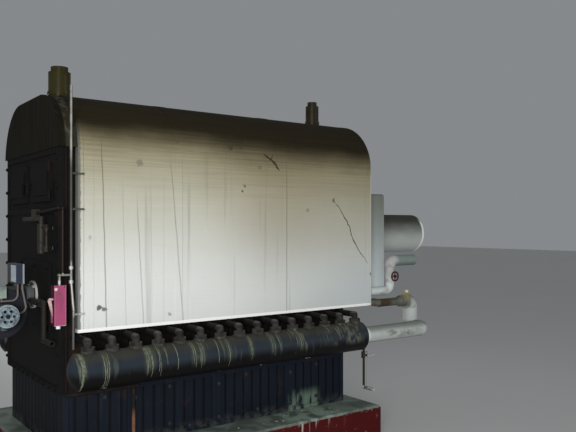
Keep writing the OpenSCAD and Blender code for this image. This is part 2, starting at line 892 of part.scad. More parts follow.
// Switch box against the right edge of the front plate, with its lid to the right
module switch_box() {
    color("crimson") {
        translate([switch_back_x - switch_width, -plate_half - switch_depth, switch_z])
            cube([switch_width, switch_depth, switch_height]);
        translate([switch_back_x - switch_width - lid_margin,
                   -plate_half - switch_depth - lid_depth, switch_z - lid_margin])
            cube([switch_width + 2 * lid_margin, lid_depth, switch_height + 2 * lid_margin]);
        rod_z(switch_z - gland_height, switch_z, switch_x, -plate_half - switch_depth / 2,
              gland_radius);
    }
}

// Bent lever on the front edge of the switch box, in its on position
module switch_lever() {
    pivot_z = switch_z + lever_height;
    edge_x = switch_back_x - switch_width;
    y = lever_inset - plate_half - switch_depth;
    color("whitesmoke") {
        rod_x(edge_x - lever_reach, edge_x, y, pivot_z, lever_boss_radius);
        translate([edge_x, y + lever_thickness / 2, pivot_z]) rotate([90, 0, 0])
            linear_extrude(lever_thickness) polygon([
                [-lever_reach, lever_boss_radius], [-lever_reach - lever_width, -lever_boss_radius],
                [-lever_gap - lever_width, -lever_bend_drop], [-lever_gap - lever_width, -lever_drop],
                [-lever_gap, -lever_drop], [-lever_gap, -lever_bend_drop],
                [-lever_reach / 2, -lever_boss_radius], [-lever_reach / 2, lever_boss_radius]]);
    }
}

// Conduit up the front corner, offset at its foot, with branches to the switch box and upwards to
// the pressure control
module conduit() {
    color("lightgray") {
        rod_z(offset_head_z, crest_z, conduit_x, conduit_y, conduit_radius);
        translate([conduit_x, conduit_y, offset_head_z]) sphere(r = conduit_radius + turn_swell);
        rod([conduit_foot_x, conduit_y, offset_foot_z], [conduit_x, conduit_y, offset_head_z],
            conduit_radius);
        translate([conduit_foot_x, conduit_y, offset_foot_z])
            sphere(r = conduit_radius + turn_swell);
        rod_z(conduit_foot_z, offset_foot_z, conduit_foot_x, conduit_y, conduit_radius);
        for (side = [-1, 1])
            rod_z(conduit_branch_z + side * coupling_spread - coupling_height / 2,
                  conduit_branch_z + side * coupling_spread + coupling_height / 2,
                  conduit_x, conduit_y, conduit_radius + coupling_step);
        rod_x(switch_x, conduit_x, conduit_y, conduit_branch_z, conduit_radius);
        translate([switch_x, conduit_y, conduit_branch_z])
            sphere(r = conduit_radius + coupling_step);
        rod_z(switch_top_z, conduit_branch_z, switch_x, conduit_y, conduit_radius);
        for (height = clamp_heights) clamp(plinth_height + height);
        feeler_pipe();
    }
}

// Strap from the conduit to the jacket, where the conduit stands at its place for that height
module clamp(z) {
    x = z < offset_foot_z ? conduit_foot_x : conduit_x;
    translate([x, conduit_y, z - clamp_height / 2])
        cube([jacket_front_x - x + lap_width, -jacket_half - lap_thickness - conduit_y,
              clamp_height]);
}

// Pipe from the branch up the corner and across the front to the pressure control
module feeler_pipe() {
    box_y = -pressure_box_offset - pressure_box_width / 2;
    turn_z = plinth_height + feeler_height;
    turn = [feeler_x - feeler_reach, conduit_y, turn_z];
    head = [column_x, box_y - feeler_stub,
            column_head_z + column_pipe_radius + pressure_box_height / 2];
    rod_z(conduit_branch_z, turn_z, feeler_x, conduit_y, conduit_radius);
    translate([feeler_x, conduit_y, turn_z]) sphere(r = conduit_radius + coupling_step);
    rod_x(turn[0], feeler_x, conduit_y, turn_z, conduit_radius);
    translate(turn) sphere(r = conduit_radius + elbow_step);
    rod(turn, head, conduit_radius);
    translate(head) sphere(r = conduit_radius + elbow_step);
    rod_y(head[1], box_y, column_x, head[2], conduit_radius);
}

// Small pipe along the ledge of the first base panel and down beside its joint
module ledge_pipe() {
    y = -base_width / 2 - stile_depth - ledge_pipe_radius - elbow_step;
    z = base_top - ledge_pipe_radius;
    drop_x = front_x + panel_joints[0];
    color("peru") {
        rod_x(front_x + ledge_pipe_radius, drop_x + ledge_pipe_tail, y, z, ledge_pipe_radius);
        translate([drop_x, y, z]) sphere(r = ledge_pipe_radius + elbow_step);
        rod_z(plinth_height, z, drop_x, y, ledge_pipe_radius);
    }
}

// A lagged steam riser with its collar and a bare pipe end above the lagging
module steam_riser(x, radius, bore) {
    color("wheat") difference() {
        union() {
            rod_z(crest_z, crest_z + riser_height - riser_bare, x, 0, radius);
            rod_z(crest_z + collar_height, crest_z + collar_height + collar_width, x, 0,
                  radius + collar_step);
            rod_z(crest_z, crest_z + riser_height, x, 0, radius - riser_lagging);
        }
        rod_z(crest_z + riser_lagging, crest_z + riser_height + overcut, x, 0, bore);
    }
}

// The front riser stands partly on the lap at the jacket's front edge
module front_steam_riser() difference() {
    steam_riser(jacket_front_x + front_riser_setback, front_riser_radius, front_riser_bore);
    seam_lap(jacket_front_x, jacket_front_x + lap_width);
}

module rear_steam_riser()
    steam_riser(jacket_rear_x - rear_riser_setback, rear_riser_radius, rear_riser_bore);

module smoke_box() {
    half = smoke_box_width / 2 - smoke_box_corner;
    low = smoke_box_z + smoke_box_corner;
    high = plinth_height + smoke_box_top - smoke_box_corner;
    color("snow") along_x(jacket_rear_x, smoke_box_x) {
        translate([-half - smoke_box_corner, low]) square([smoke_box_width, high - low]);
        translate([-half, low - smoke_box_corner])
            square([2 * half, high - low + 2 * smoke_box_corner]);
        for (side = [-1, 1], z = [low, high])
            translate([side * half, z]) circle(r = smoke_box_corner);
    }
}

module flue_pipe() {
    z = plinth_height + flue_height;
    color("snow") difference() {
        union() {
            rod_x(smoke_box_x, smoke_box_x + flue_length, 0, z, flue_radius);
            rod_x(smoke_box_x, smoke_box_x + flue_collar_width, 0, z, flue_radius + flue_collar_step);
        }
        rod_x(smoke_box_x + flue_wall, smoke_box_x + flue_length + overcut, 0, z,
              flue_radius - flue_wall);
    }
}

// Return pipe from the rear end of the right header, up through its union and reducer, and back
// into the rear hood
module return_pipe() {
    turn = header_end_x + return_run;
    corner = return_radius + lagging_swell;
    cross_corner = cross_pipe_radius + lagging_swell;
    inlet_x = jacket_rear_x + cross_pipe_radius + cross_pipe_clearance;
    union_end = turn - return_bend;
    union_start = union_end - union_length;
    union_radius = cross_pipe_radius + union_step;
    color("ivory") {
        rod_x(header_end_x, turn, -header_offset, header_z, return_radius);
        translate([turn, -header_offset, header_z]) sphere(r = corner);
        rod_y(-header_offset, -return_offset, turn, header_z, return_radius);
        translate([turn, -return_offset, header_z]) sphere(r = corner);
        rod_z(header_z, cross_pipe_z - return_bend, turn, -return_offset, return_radius);
        bend([union_end, -return_offset, cross_pipe_z - return_bend], 0, return_bend, return_radius);
        rod_x(union_start, union_end, -return_offset, cross_pipe_z, union_radius);
        rod_x(union_start, union_start + union_ring_width, -return_offset, cross_pipe_z,
              union_radius + union_ring_step);
        translate([union_start - reducer_length, -return_offset, cross_pipe_z]) rotate([0, 90, 0])
            cylinder(r1 = cross_pipe_radius, r2 = union_radius, h = reducer_length);
        rod_x(inlet_x, union_start - reducer_length, -return_offset, cross_pipe_z,
              cross_pipe_radius);
        translate([inlet_x, -return_offset, cross_pipe_z]) sphere(r = cross_corner);
        rod_y(-return_offset, -port_offset, inlet_x, cross_pipe_z, cross_pipe_radius);
        translate([inlet_x, -port_offset, cross_pipe_z]) sphere(r = cross_corner);
        rod_x(jacket_rear_x, inlet_x, -port_offset, cross_pipe_z, cross_pipe_radius);
        rod_z(cross_pipe_z, cross_pipe_z + return_radius + plug_height, turn - plug_inset,
              -return_offset, plug_radius);
    }
}

// Feed pipe from behind, down through its valve and forward into the rear hood
module feed_pipe() {
    color("mintcream") {
        difference() {
            rod_x(feed_x + feed_bend, feed_x + feed_run, feed_y, feed_z, feed_radius);
            rod_x(feed_x + feed_run - feed_bore_depth, feed_x + feed_run + overcut, feed_y, feed_z,
                  feed_bore);
        }
        bend([feed_x + feed_bend, feed_y, feed_z - feed_bend], 90, feed_bend, feed_radius);
        rod_z(feed_foot_z + feed_bend, feed_z - feed_bend, feed_x, feed_y, feed_drop_radius);
        rod_z(feed_valve_z - valve_height / 2, feed_valve_z + valve_height / 2, feed_x, feed_y,
              feed_drop_radius + valve_step);
        rod_y(feed_y - bonnet_length, feed_y, feed_x, feed_valve_z, bonnet_radius);
        bend([feed_x - feed_bend, feed_y, feed_foot_z + feed_bend], -90, feed_bend,
             feed_drop_radius);
        rod_x(jacket_rear_x, feed_x - feed_bend, feed_y, feed_foot_z, feed_drop_radius);
    }
}

// Round handwheel of the feed valve, with its hub and spokes
module feed_handwheel() {
    hub_y = feed_y - bonnet_length - wheel_hub_length;
    wheel_y = hub_y + wheel_hub_length / 2;
    color("maroon") {
        rod_y(hub_y, hub_y + wheel_hub_length, feed_x, feed_valve_z, wheel_hub_radius);
        translate([feed_x, wheel_y, feed_valve_z]) rotate([90, 0, 0]) {
            rotate_extrude() translate([wheel_radius, 0]) circle(r = wheel_rim_radius);
            for (n = [1 : wheel_spokes])
                rotate([0, 90, n * 360 / wheel_spokes])
                    cylinder(r = wheel_spoke_radius, h = wheel_radius);
        }
    }
}

// Drain under the return pipe, with its cock
module drain_pipe() {
    x = header_end_x + drain_gap;
    handle_y = -header_offset - drain_cock_radius - drain_stem_length;
    color("gray") {
        difference() {
            rod_z(drain_foot_z, header_z, x, -header_offset, drain_radius);
            rod_x(header_end_x, header_end_x + return_run, -header_offset, header_z, return_radius);
        }
        translate([x, -header_offset, drain_foot_z]) sphere(r = drain_radius + elbow_step);
        rod_y(-header_offset - drain_reach, -header_offset, x, drain_foot_z, drain_radius);
        rod_z(drain_cock_z - drain_cock_radius, drain_cock_z + drain_cock_radius, x,
              -header_offset, drain_cock_radius);
        rod_y(handle_y, -header_offset, x, drain_cock_z, drain_stem_radius);
        translate([x - drain_stem_radius, handle_y - drain_handle_thickness,
                   drain_cock_z - drain_handle_width / 2])
            cube([drain_handle_length, drain_handle_thickness, drain_handle_width]);
    }
}

plinth();
base_side_right();
base_side_left();
base_ends();
for (n = [1 : section_count])
    section(n);
nipples_right();
nipples_left();
return_header_right();
return_header_left();
jacket_front_sheet();
jacket_middle_sheet();
jacket_rear_sheet();
front_lagging();
rear_hood();
front_plate();
flue_doors();
burner_plate();
burner();
burner_motor();
burner_control();
burner_actuator();
burner_leads();
gas_train();
water_column();
switch_box();
switch_lever();
conduit();
ledge_pipe();
front_steam_riser();
rear_steam_riser();
smoke_box();
flue_pipe();
return_pipe();
feed_pipe();
feed_handwheel();
drain_pipe();
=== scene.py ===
"""Finishes, fastenings, stains and light for a cast iron sectional boiler."""

import math
import random

import bmesh
import bpy
from bpy.props import FloatProperty, FloatVectorProperty, IntProperty, PointerProperty
from mathutils import Matrix, Vector


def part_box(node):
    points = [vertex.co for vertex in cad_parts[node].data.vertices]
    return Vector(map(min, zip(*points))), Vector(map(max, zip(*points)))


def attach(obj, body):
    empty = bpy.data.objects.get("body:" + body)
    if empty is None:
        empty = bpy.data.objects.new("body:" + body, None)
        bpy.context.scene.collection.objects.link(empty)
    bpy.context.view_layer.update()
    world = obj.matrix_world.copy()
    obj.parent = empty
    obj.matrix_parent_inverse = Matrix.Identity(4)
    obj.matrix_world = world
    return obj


bl_info = {
    "name": "Sectional boiler",
    "version": (1, 0, 0),
    "blender": (4, 5, 0),
    "location": "3D View > Sidebar > Boiler",
    "description": "Finishes, fastenings, stains and light for a cast iron sectional boiler",
    "category": "Object",
}

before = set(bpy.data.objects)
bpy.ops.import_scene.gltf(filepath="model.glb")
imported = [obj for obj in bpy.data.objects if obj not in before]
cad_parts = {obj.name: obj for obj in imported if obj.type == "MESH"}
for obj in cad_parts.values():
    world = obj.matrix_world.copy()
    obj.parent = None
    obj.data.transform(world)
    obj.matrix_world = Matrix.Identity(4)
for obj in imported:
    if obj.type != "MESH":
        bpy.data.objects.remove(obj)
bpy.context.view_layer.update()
SECTION_COUNT = sum(name.startswith("section_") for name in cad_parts)


def middle(node):
    """Gives the centre of a CAD node's box."""
    low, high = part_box(node)
    return (low + high) / 2


SECTION_X = [middle(f"section_{n:02d}").x for n in range(1, SECTION_COUNT + 1)]
HEADER_LOW, HEADER_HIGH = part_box("return_header_right")
JACKET_LOW, JACKET_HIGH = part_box("jacket_middle_sheet")
JACKET_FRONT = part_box("jacket_front_sheet")[0]
JACKET_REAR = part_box("jacket_rear_sheet")[1]
BASE_LOW, BASE_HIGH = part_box("base_side_right")
PLINTH_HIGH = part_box("plinth")[1]

# Sizes in metres that the CAD boxes do not give.
HEADER_RADIUS = 0.1095
HEADER_Y = abs(middle("return_header_right").y)
HEADER_Z = HEADER_LOW.z + HEADER_RADIUS
BOSS_RADIUS = 0.046
THREAD_RADIUS = 0.0232
THREAD_PITCH = 0.0035
SHOULDER = 0.394
LAP = 0.002

# Specular level of every finish.
GLOSS = 0.15

# Places across the width of a ridge of scale or torn skin.
ACROSS = (-1.0, -0.5, 0.0, 0.5, 1.0)

# Bolts on the panels of a base side, 9 mm behind its outer face: X and Z.
PANEL_BOLTS = (
    (-0.858, 0.592), (-0.409, 0.597), (-0.409, 0.348), (-0.258, 0.308), (0.197, 0.599),
    (0.300, 0.330), (0.850, 0.592), (0.850, 0.348), (-0.858, 0.340),
)  # fmt: skip

# Plaster flakes on the base's ledge: X.
FLAKES = (-0.853, -0.031, 0.333, 0.352, 0.760, 0.782, 0.824)

# Soft stains on the headers: X.
STAINS = (-1.11, -0.975, -0.715, -0.69, -0.40, -0.34, -0.14, 0.035, 0.21, 0.45)

# Runs of scale down the right header: X, first and last angle from the crown, width.
SCALE_RUNS = (
    (-1.112, 8, 172, 0.015), (-1.119, 15, 120, 0.008), (-1.100, 12, 95, 0.006),
    (-0.984, 28, 165, 0.006), (-0.974, 35, 150, 0.004), (-0.958, 22, 150, 0.005),
    (-0.724, 14, 78, 0.005), (-0.716, 5, 118, 0.004), (-0.706, 4, 92, 0.006),
    (-0.697, 5, 128, 0.005), (-0.688, 8, 100, 0.004), (-0.638, 12, 110, 0.006),
    (-0.630, 20, 128, 0.004), (-0.585, 22, 92, 0.005), (-0.516, 12, 112, 0.006),
    (-0.404, 18, 98, 0.004), (-0.390, 20, 112, 0.005), (-0.350, 18, 120, 0.004),
    (-0.332, 24, 108, 0.004), (-0.221, 12, 108, 0.006), (-0.140, 20, 128, 0.006),
    (0.028, 30, 96, 0.004), (0.040, 20, 115, 0.006), (0.199, 14, 98, 0.005),
    (0.222, 32, 112, 0.003), (0.266, 20, 92, 0.006), (0.414, 20, 92, 0.004),
    (0.452, 18, 104, 0.005), (0.467, 30, 92, 0.004),
)  # fmt: skip

# Scratches on the right side of the jacket: X at MARK_HEIGHT, lean, top, half width, strength.
MARK_HEIGHT = 1.6
SCRATCHES = (
    (-0.886, -0.027, 2.30, 0.006, 0.9), (-0.758, -0.030, 2.05, 0.005, 0.35),
    (-0.656, -0.059, 1.93, 0.006, 0.6), (-0.481, 0.0, 2.1, 0.004, 0.3),
    (-0.388, -0.086, 2.20, 0.006, 0.65), (-0.345, 0.0, 2.25, 0.004, 0.4),
    (-0.952, 0.0, 2.2, 0.004, 0.25), (0.520, 0.0, 2.25, 0.005, 0.85), (-1.016, 0.0, 2.3, 0.004, 0.6),
)  # fmt: skip

# Rough spots on the right side of the jacket: X, Z, radius, strength.
SPOTS = (
    (-0.923, 1.163, 0.018, 0.9), (-0.884, 1.148, 0.020, 0.8), (0.150, 1.950, 0.016, 0.7),
    (0.126, 1.913, 0.012, 0.9), (0.980, 1.864, 0.020, 0.7), (-0.378, 2.230, 0.025, 0.4),
    (0.279, 2.090, 0.018, 0.4), (-0.650, 2.071, 0.028, 0.4), (0.719, 1.790, 0.018, 0.35),
    (-0.437, 1.088, 0.012, 0.5), (0.033, 2.220, 0.030, 0.45), (1.384, 1.275, 0.022, 0.95),
    (-0.98, 1.60, 0.02, 0.3), (1.403, 1.023, 0.020, 0.8), (-0.112, 2.200, 0.020, 0.5),
)  # fmt: skip

# Tears in the skin of the right side of the jacket: width, then points in X and Z.
TEARS = (
    (0.011, (0.975, 1.868), (1.035, 1.812), (1.10, 1.725), (1.150, 1.655), (1.165, 1.592),
     (1.222, 1.498), (1.310, 1.405), (1.372, 1.325)),
    (0.024, (0.315, 2.190), (0.353, 2.167), (0.387, 2.147), (0.414, 2.123), (0.436, 2.095), (0.460, 2.072)),
    (0.010, (0.396, 2.194), (0.388, 2.172), (0.381, 2.152)),
    (0.018, (0.046, 2.262), (0.052, 2.225), (0.046, 2.195)),
    (0.010, (0.026, 2.250), (0.030, 2.225)),
    (0.012, (0.131, 2.240), (0.127, 2.205)),
)  # fmt: skip

# Lamps: name, place, target, size, watts, spread.
LAMPS = (
    ("key", (-4.3, -6.2, 1.9), (-0.2, -0.5, 1.1), 2.6, 111.0, math.pi / 2),
    ("fill", (6.0, -7.0, 3.0), (0.3, 0.0, 1.2), 4.0, 50.0, math.pi),
    ("back", (2.0, 8.0, 1.0), (0.0, 0.0, 1.0), 2.4, 54.0, math.pi / 2),
)

# Camera: place, turn from the Y axis, focal length and sensor in millimetres.
EYE = (-2.483, -4.661, 1.668)
HEADING = math.atan2(-0.5976, 0.8018)
FOCAL_LENGTH = 42.375
SENSOR = 36.0
# The horizon lies 10 px under the middle of a picture 576 px wide.
HORIZON_SHIFT = 10.0 / 576.0


def colour_property(name, description, default):
    return FloatVectorProperty(
        name=name, description=description, subtype="COLOR", default=default, min=0.0, max=1.0, size=3
    )


def length_property(name, description, default):
    return FloatProperty(
        name=name, description=description, default=default, min=0.0, subtype="DISTANCE", unit="LENGTH"
    )


class BoilerColours(bpy.types.PropertyGroup):
    """Colours of the paints, bare metals and stains; some are darkened as painted shade."""

    jacket: colour_property("Jacket", "Clean paint low on the jacket", (0.665, 0.68, 0.65))
    # Jacket dust and shade: dust and smoke on the crest, darkened further as painted shade.
    jacket_dust_and_shade: colour_property("Jacket dust", "Dust and smoke on the crest", (0.014, 0.010, 0.0035))
    # Iron: blackened castings, darkened further as painted shade on the front.
    iron: colour_property("Iron", "Blackened castings of the front", (0.0036, 0.0034, 0.0032))
    rust: colour_property("Rust", "Rust on the castings and pipes", (0.045, 0.022, 0.013))
    base: colour_property("Base", "Blue-black paint of the base panels", (0.0048, 0.0078, 0.0150))
    header: colour_property("Header", "Grey-blue paint of the return headers", (0.018, 0.025, 0.033))
    dust: colour_property("Dust", "Dust that settles on level faces", (0.12, 0.125, 0.10))
    scale: colour_property("Scale", "Lime scale left by the leaks", (0.155, 0.170, 0.120))
    # Plinth: the red paint, darkened as painted shade.
    plinth: colour_property("Plinth", "Red paint of the plinth", (0.062, 0.0035, 0.0035))
    # Lagging: the stained plaster, darkened as painted shade.
    lagging: colour_property("Lagging", "Stained plaster over the front", (0.030, 0.027, 0.013))
    pipe: colour_property("Pipe lagging", "White paint on the pipes and the smoke box", (0.43, 0.46, 0.44))
    switch: colour_property("Switch box", "Red paint of the switch box", (0.33, 0.065, 0.145))
    casing: colour_property("Casings", "Grey paint of the burner's casings", (0.075, 0.085, 0.085))


class BoilerSizes(bpy.types.PropertyGroup):
    """Sizes of the fastenings, deposits and marks."""

    base_bolt: length_property("Base bolt", "Width across flats of the bolts in the base", 0.021)
    front_bolt: length_property("Front bolt", "Width across flats of the bolts in the front", 0.022)
    small_screw: length_property("Small screw", "Diameter of the small screws", 0.009)
    drip_rise: length_property("Drip thickness", "How far a run of scale stands out", 0.0018)
    debris: IntProperty(name="Debris", description="Flakes of scale on the plinth", default=70, min=0)
    seed: IntProperty(name="Seed", description="Start of the random series", default=7, min=0)


class Value:
    """A socket whose arithmetic adds Math nodes to its shader."""

    def __init__(self, shader, socket):
        self.shader = shader
        self.socket = socket

    def math(self, operation, *values):
        return self.shader.node("ShaderNodeMath", {"operation": operation}, dict(enumerate(values)))

    def other(self, output):
        return Value(self.shader, self.socket.node.outputs[output])

    def __add__(self, other):
        return self.math("ADD", self, other)

    def __radd__(self, other):
        return self.math("ADD", other, self)

    def __sub__(self, other):
        return self.math("SUBTRACT", self, other)

    def __rsub__(self, other):
        return self.math("SUBTRACT", other, self)

    def __mul__(self, other):
        return self.math("MULTIPLY", self, other)

    def __rmul__(self, other):
        return self.math("MULTIPLY", other, self)

    def __truediv__(self, other):
        return self.math("DIVIDE", self, other)

    def __abs__(self):
        return self.math("ABSOLUTE", self)

    def __or__(self, other):
        return self.math("MAXIMUM", self, other)


class Shader:
    """The node tree of one finish."""

    def __init__(self, name):
        self.material = bpy.data.materials.new(name)
        self.material.use_nodes = True
        self.tree = self.material.node_tree
        self.tree.nodes.clear()
        self.place = self.node("ShaderNodeTexCoord", output="Object")
        self.x = self.node("ShaderNodeSeparateXYZ", sockets={0: self.place})
        self.y = self.x.other("Y")
        self.z = self.x.other("Z")
        self.up = self.node("ShaderNodeSeparateXYZ", sockets={0: self.place.other("Normal")}, output="Z")
        self.right = 0.0 - self.up.other("Y")
        self.front = 0.0 - self.up.other("X")

    def node(self, kind, settings=None, sockets=None, output=0):
        """Makes a node, sets it and its sockets, and gives one of its outputs."""
        made = self.tree.nodes.new(kind)
        for key, setting in (settings or {}).items():
            setattr(made, key, setting)
        for key, value in (sockets or {}).items():
            socket = made.inputs[key]
            if isinstance(value, Value):
                self.tree.links.new(value.socket, socket)
            elif socket.type == "RGBA":
                socket.default_value = (*value, 1.0)
            else:
                socket.default_value = value
        return Value(self, made.outputs[output]) if made.outputs else None

    def noise(self, scale, detail=5.0, stretch=(1.0, 1.0, 1.0)):
        """Noise in the boiler's own metres, drawn out where the stretch is small."""
        vector = self.node("ShaderNodeVectorMath", {"operation": "MULTIPLY"}, {0: self.place, 1: stretch})
        return self.node("ShaderNodeTexNoise", sockets={"Vector": vector, "Scale": scale, "Detail": detail})

    def cells(self, scale):
        """Distance from the nearest of many scattered points."""
        sockets = {"Vector": self.place, "Scale": scale}
        return self.node("ShaderNodeTexVoronoi", {"feature": "F1"}, sockets, "Distance")

    def fade(self, value, low, high):
        """Rises softly from 0 at low to 1 at high, where low may be the larger of the two."""
        return self.node(
            "ShaderNodeMapRange",
            {"interpolation_type": "SMOOTHSTEP"},
            {"Value": value, "From Min": low, "From Max": high},
        )

    def patches(self, low, high, scale, detail=5.0, stretch=(1.0, 1.0, 1.0)):
        """Soft patches, where a noise rises from low to high."""
        return self.fade(self.noise(scale, detail, stretch), low, high)

    def mix(self, mask, first, second):
        """Lays the second colour over the first where the mask is 1."""
        return self.node("ShaderNodeMix", {"data_type": "RGBA"}, {0: mask, 6: first, 7: second}, 2)

    def shade(self, colour, factor):
        """Makes a colour lighter or darker."""
        return self.node("ShaderNodeVectorMath", {"operation": "SCALE"}, {0: colour, "Scale": factor})

    def distance(self, point):
        """Distance from a point of the boiler."""
        settings = {"operation": "DISTANCE"}
        return self.node("ShaderNodeVectorMath", settings, {0: self.place, 1: point}, "Value")

    def finish(self, colour, roughness, height=None, depth=0.001, metallic=0.0):
        """Closes the tree with its surface and gives the material."""
        sockets = {"Base Color": colour, "Roughness": roughness, "Metallic": metallic}
        sockets["Specular IOR Level"] = GLOSS
        if height is not None:
            sockets["Normal"] = self.node("ShaderNodeBump", sockets={"Height": height, "Distance": depth})
        surface = self.node("ShaderNodeBsdfPrincipled", sockets=sockets)
        self.node("ShaderNodeOutputMaterial", sockets={"Surface": surface})
        return self.material


def colours():
    return bpy.context.scene.boiler_colours


def sizes():
    return bpy.context.scene.boiler_sizes


def randomness(offset):
    """Gives a series of its own to one group of pieces."""
    return random.Random(sizes().seed + offset)


def casting(name, colour, stain, share, roughness=0.62, dusty=0.6, grain=180.0, depth=0.0008):
    """Cast iron or a rough pipe: stained in patches, grainy, and dusty where it faces up."""
    s = Shader(name)
    broad = s.noise(5.0, 7.0)
    fine = s.noise(grain, 3.0)
    patches = s.fade(broad * 0.75 + s.noise(38.0, 4.0) * 0.25, 0.66 - 0.3 * share, 0.74 - 0.3 * share)
    body = s.shade(s.mix(patches, colour, stain), 0.7 + 0.6 * s.noise(16.0, 6.0))
    settled = s.fade(s.up, 0.35, 0.95) * s.patches(0.25, 0.6, 22.0, 4.0) * dusty
    return s.finish(
        s.mix(settled, body, colours().dust),
        roughness + 0.2 * patches + 0.15 * settled,
        fine * 0.6 + broad * 1.5 + patches * 0.5,
        depth,
    )


def paint(name, colour, dirt, share, roughness):
    """Painted sheet or casing with grime in patches, fine scuffs and dust on top."""
    s = Shader(name)
    grime = s.patches(0.62 - 0.35 * share, 0.82 - 0.25 * share, 7.0, 8.0)
    scuffs = s.patches(0.66, 0.72, 60.0, 3.0, (1.0, 1.0, 0.25))
    body = s.shade(s.mix(grime * 0.8, colour, dirt), 0.9 + 0.2 * s.noise(25.0, 5.0))
    body = s.mix(scuffs * 0.35, body, dirt)
    settled = s.fade(s.up, 0.4, 0.95) * s.patches(0.3, 0.6, 18.0, 4.0) * 0.5
    return s.finish(
        s.mix(settled, body, colours().dust),
        roughness + 0.25 * grime + 0.2 * settled,
        s.noise(90.0, 3.0) * 0.3 + s.noise(4.0, 3.0) * 2.0,
        0.0012,
    )


def dress(material, *nodes):
    """Gives CAD nodes their finish."""
    for node in nodes:
        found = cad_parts[node]
        if not found.material_slots:
            found.data.materials.append(material)
        for slot in found.material_slots:
            slot.material = material


def piece(name, mesh, material, smooth=False):
    """Turns a bmesh into a piece that rides on the boiler."""
    data = bpy.data.meshes.new(name)
    bmesh.ops.recalc_face_normals(mesh, faces=mesh.faces)
    mesh.to_mesh(data)
    mesh.free()
    data.materials.append(material)
    data.polygons.foreach_set("use_smooth", [smooth] * len(data.polygons))
    made = bpy.data.objects.new(name, data)
    bpy.context.scene.collection.objects.link(made)
    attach(made, "root")


def turned(mesh, place, axis, outline, sides, turn=0.0):
    """Adds a turned solid; its outline is pairs of radius and height from foot to top."""
    basis = Matrix.Translation(place) @ Vector(axis).to_track_quat("Z", "Y").to_matrix().to_4x4()
    rings = [
        [
            mesh.verts.new(basis @ Vector((r * math.cos(a), r * math.sin(a), h)))
            for a in (turn + 2 * math.pi * k / sides for k in range(sides))
        ]
        for r, h in outline
    ]
    for low, high in zip(rings, rings[1:]):
        for k in range(sides):
            mesh.faces.new((low[k], low[k - 1], high[k - 1], high[k]))
    mesh.faces.new(rings[0])
    mesh.faces.new(rings[-1][::-1])


def hoop(mesh, place, axis, radius, thickness, sides, round_sides):
    """Adds a closed ring of round section."""
    basis = Matrix.Translation(place) @ Vector(axis).to_track_quat("Z", "Y").to_matrix().to_4x4()
    rings = []
    for k in range(sides):
        a = 2 * math.pi * k / sides
        rings.append([])
        for j in range(round_sides):
            b = 2 * math.pi * j / round_sides
            r = radius + thickness * math.cos(b)
            spot = Vector((r * math.cos(a), r * math.sin(a), thickness * math.sin(b)))
            rings[-1].append(mesh.verts.new(basis @ spot))
    for k in range(sides):
        for j in range(round_sides):
            mesh.faces.new((rings[k][j], rings[k - 1][j], rings[k - 1][j - 1], rings[k][j - 1]))


def bolt(mesh, place, axis, across, turn=0.0):
    """Adds a washer and a chamfered hexagon head with the end of the thread."""
    corner = across / math.sqrt(3)
    washer = across * 0.11
    rise = across * 0.42
    turned(mesh, place, axis, [(corner * 1.12, 0.0), (corner * 1.12, washer)], 20)
    head = Vector(place) + Vector(axis) * washer
    turned(mesh, head, axis, [(corner, 0.0), (corner, rise * 0.8), (corner * 0.88, rise)], 6, turn)
    turned(mesh, head, axis, [(across * 0.28, rise * 0.9), (across * 0.28, rise * 1.45)], 12)


def screw(mesh, place, axis, diameter):
    """Adds a domed sheet screw."""
    r = diameter / 2
    turned(mesh, place, axis, [(r, 0.0), (r * 0.95, r * 0.25), (r * 0.7, r * 0.5), (r * 0.3, r * 0.62)], 12)


def lump(mesh, place, size, chance):
    """Adds one broken piece of scale."""
    made = bmesh.ops.create_icosphere(mesh, subdivisions=2, radius=size)["verts"]
    flat = chance.uniform(0.35, 0.7)
    for vert in made:
        vert.co = vert.co * chance.uniform(0.75, 1.2)
        vert.co.z *= flat
        vert.co += Vector(place)


def strip(mesh, points, outward, width, rise):
    """Adds a low ridge along points on a surface, thin at both ends."""
    rows = []
    for k, point in enumerate(points):
        ahead = Vector(points[min(k + 1, len(points) - 1)]) - Vector(points[max(k - 1, 0)])
        side = ahead.cross(Vector(outward[k])).normalized()
        share = math.sin(math.pi * (k + 0.5) / len(points)) ** 0.4
        half = side * (width[k] / 2 * share)
        lift = Vector(outward[k]) * rise * share
        rows.append([mesh.verts.new(Vector(point) + half * t + lift * (1 - t * t)) for t in ACROSS])
    for low, high in zip(rows, rows[1:]):
        for k in range(len(ACROSS) - 1):
            mesh.faces.new((low[k], low[k + 1], high[k + 1], high[k]))


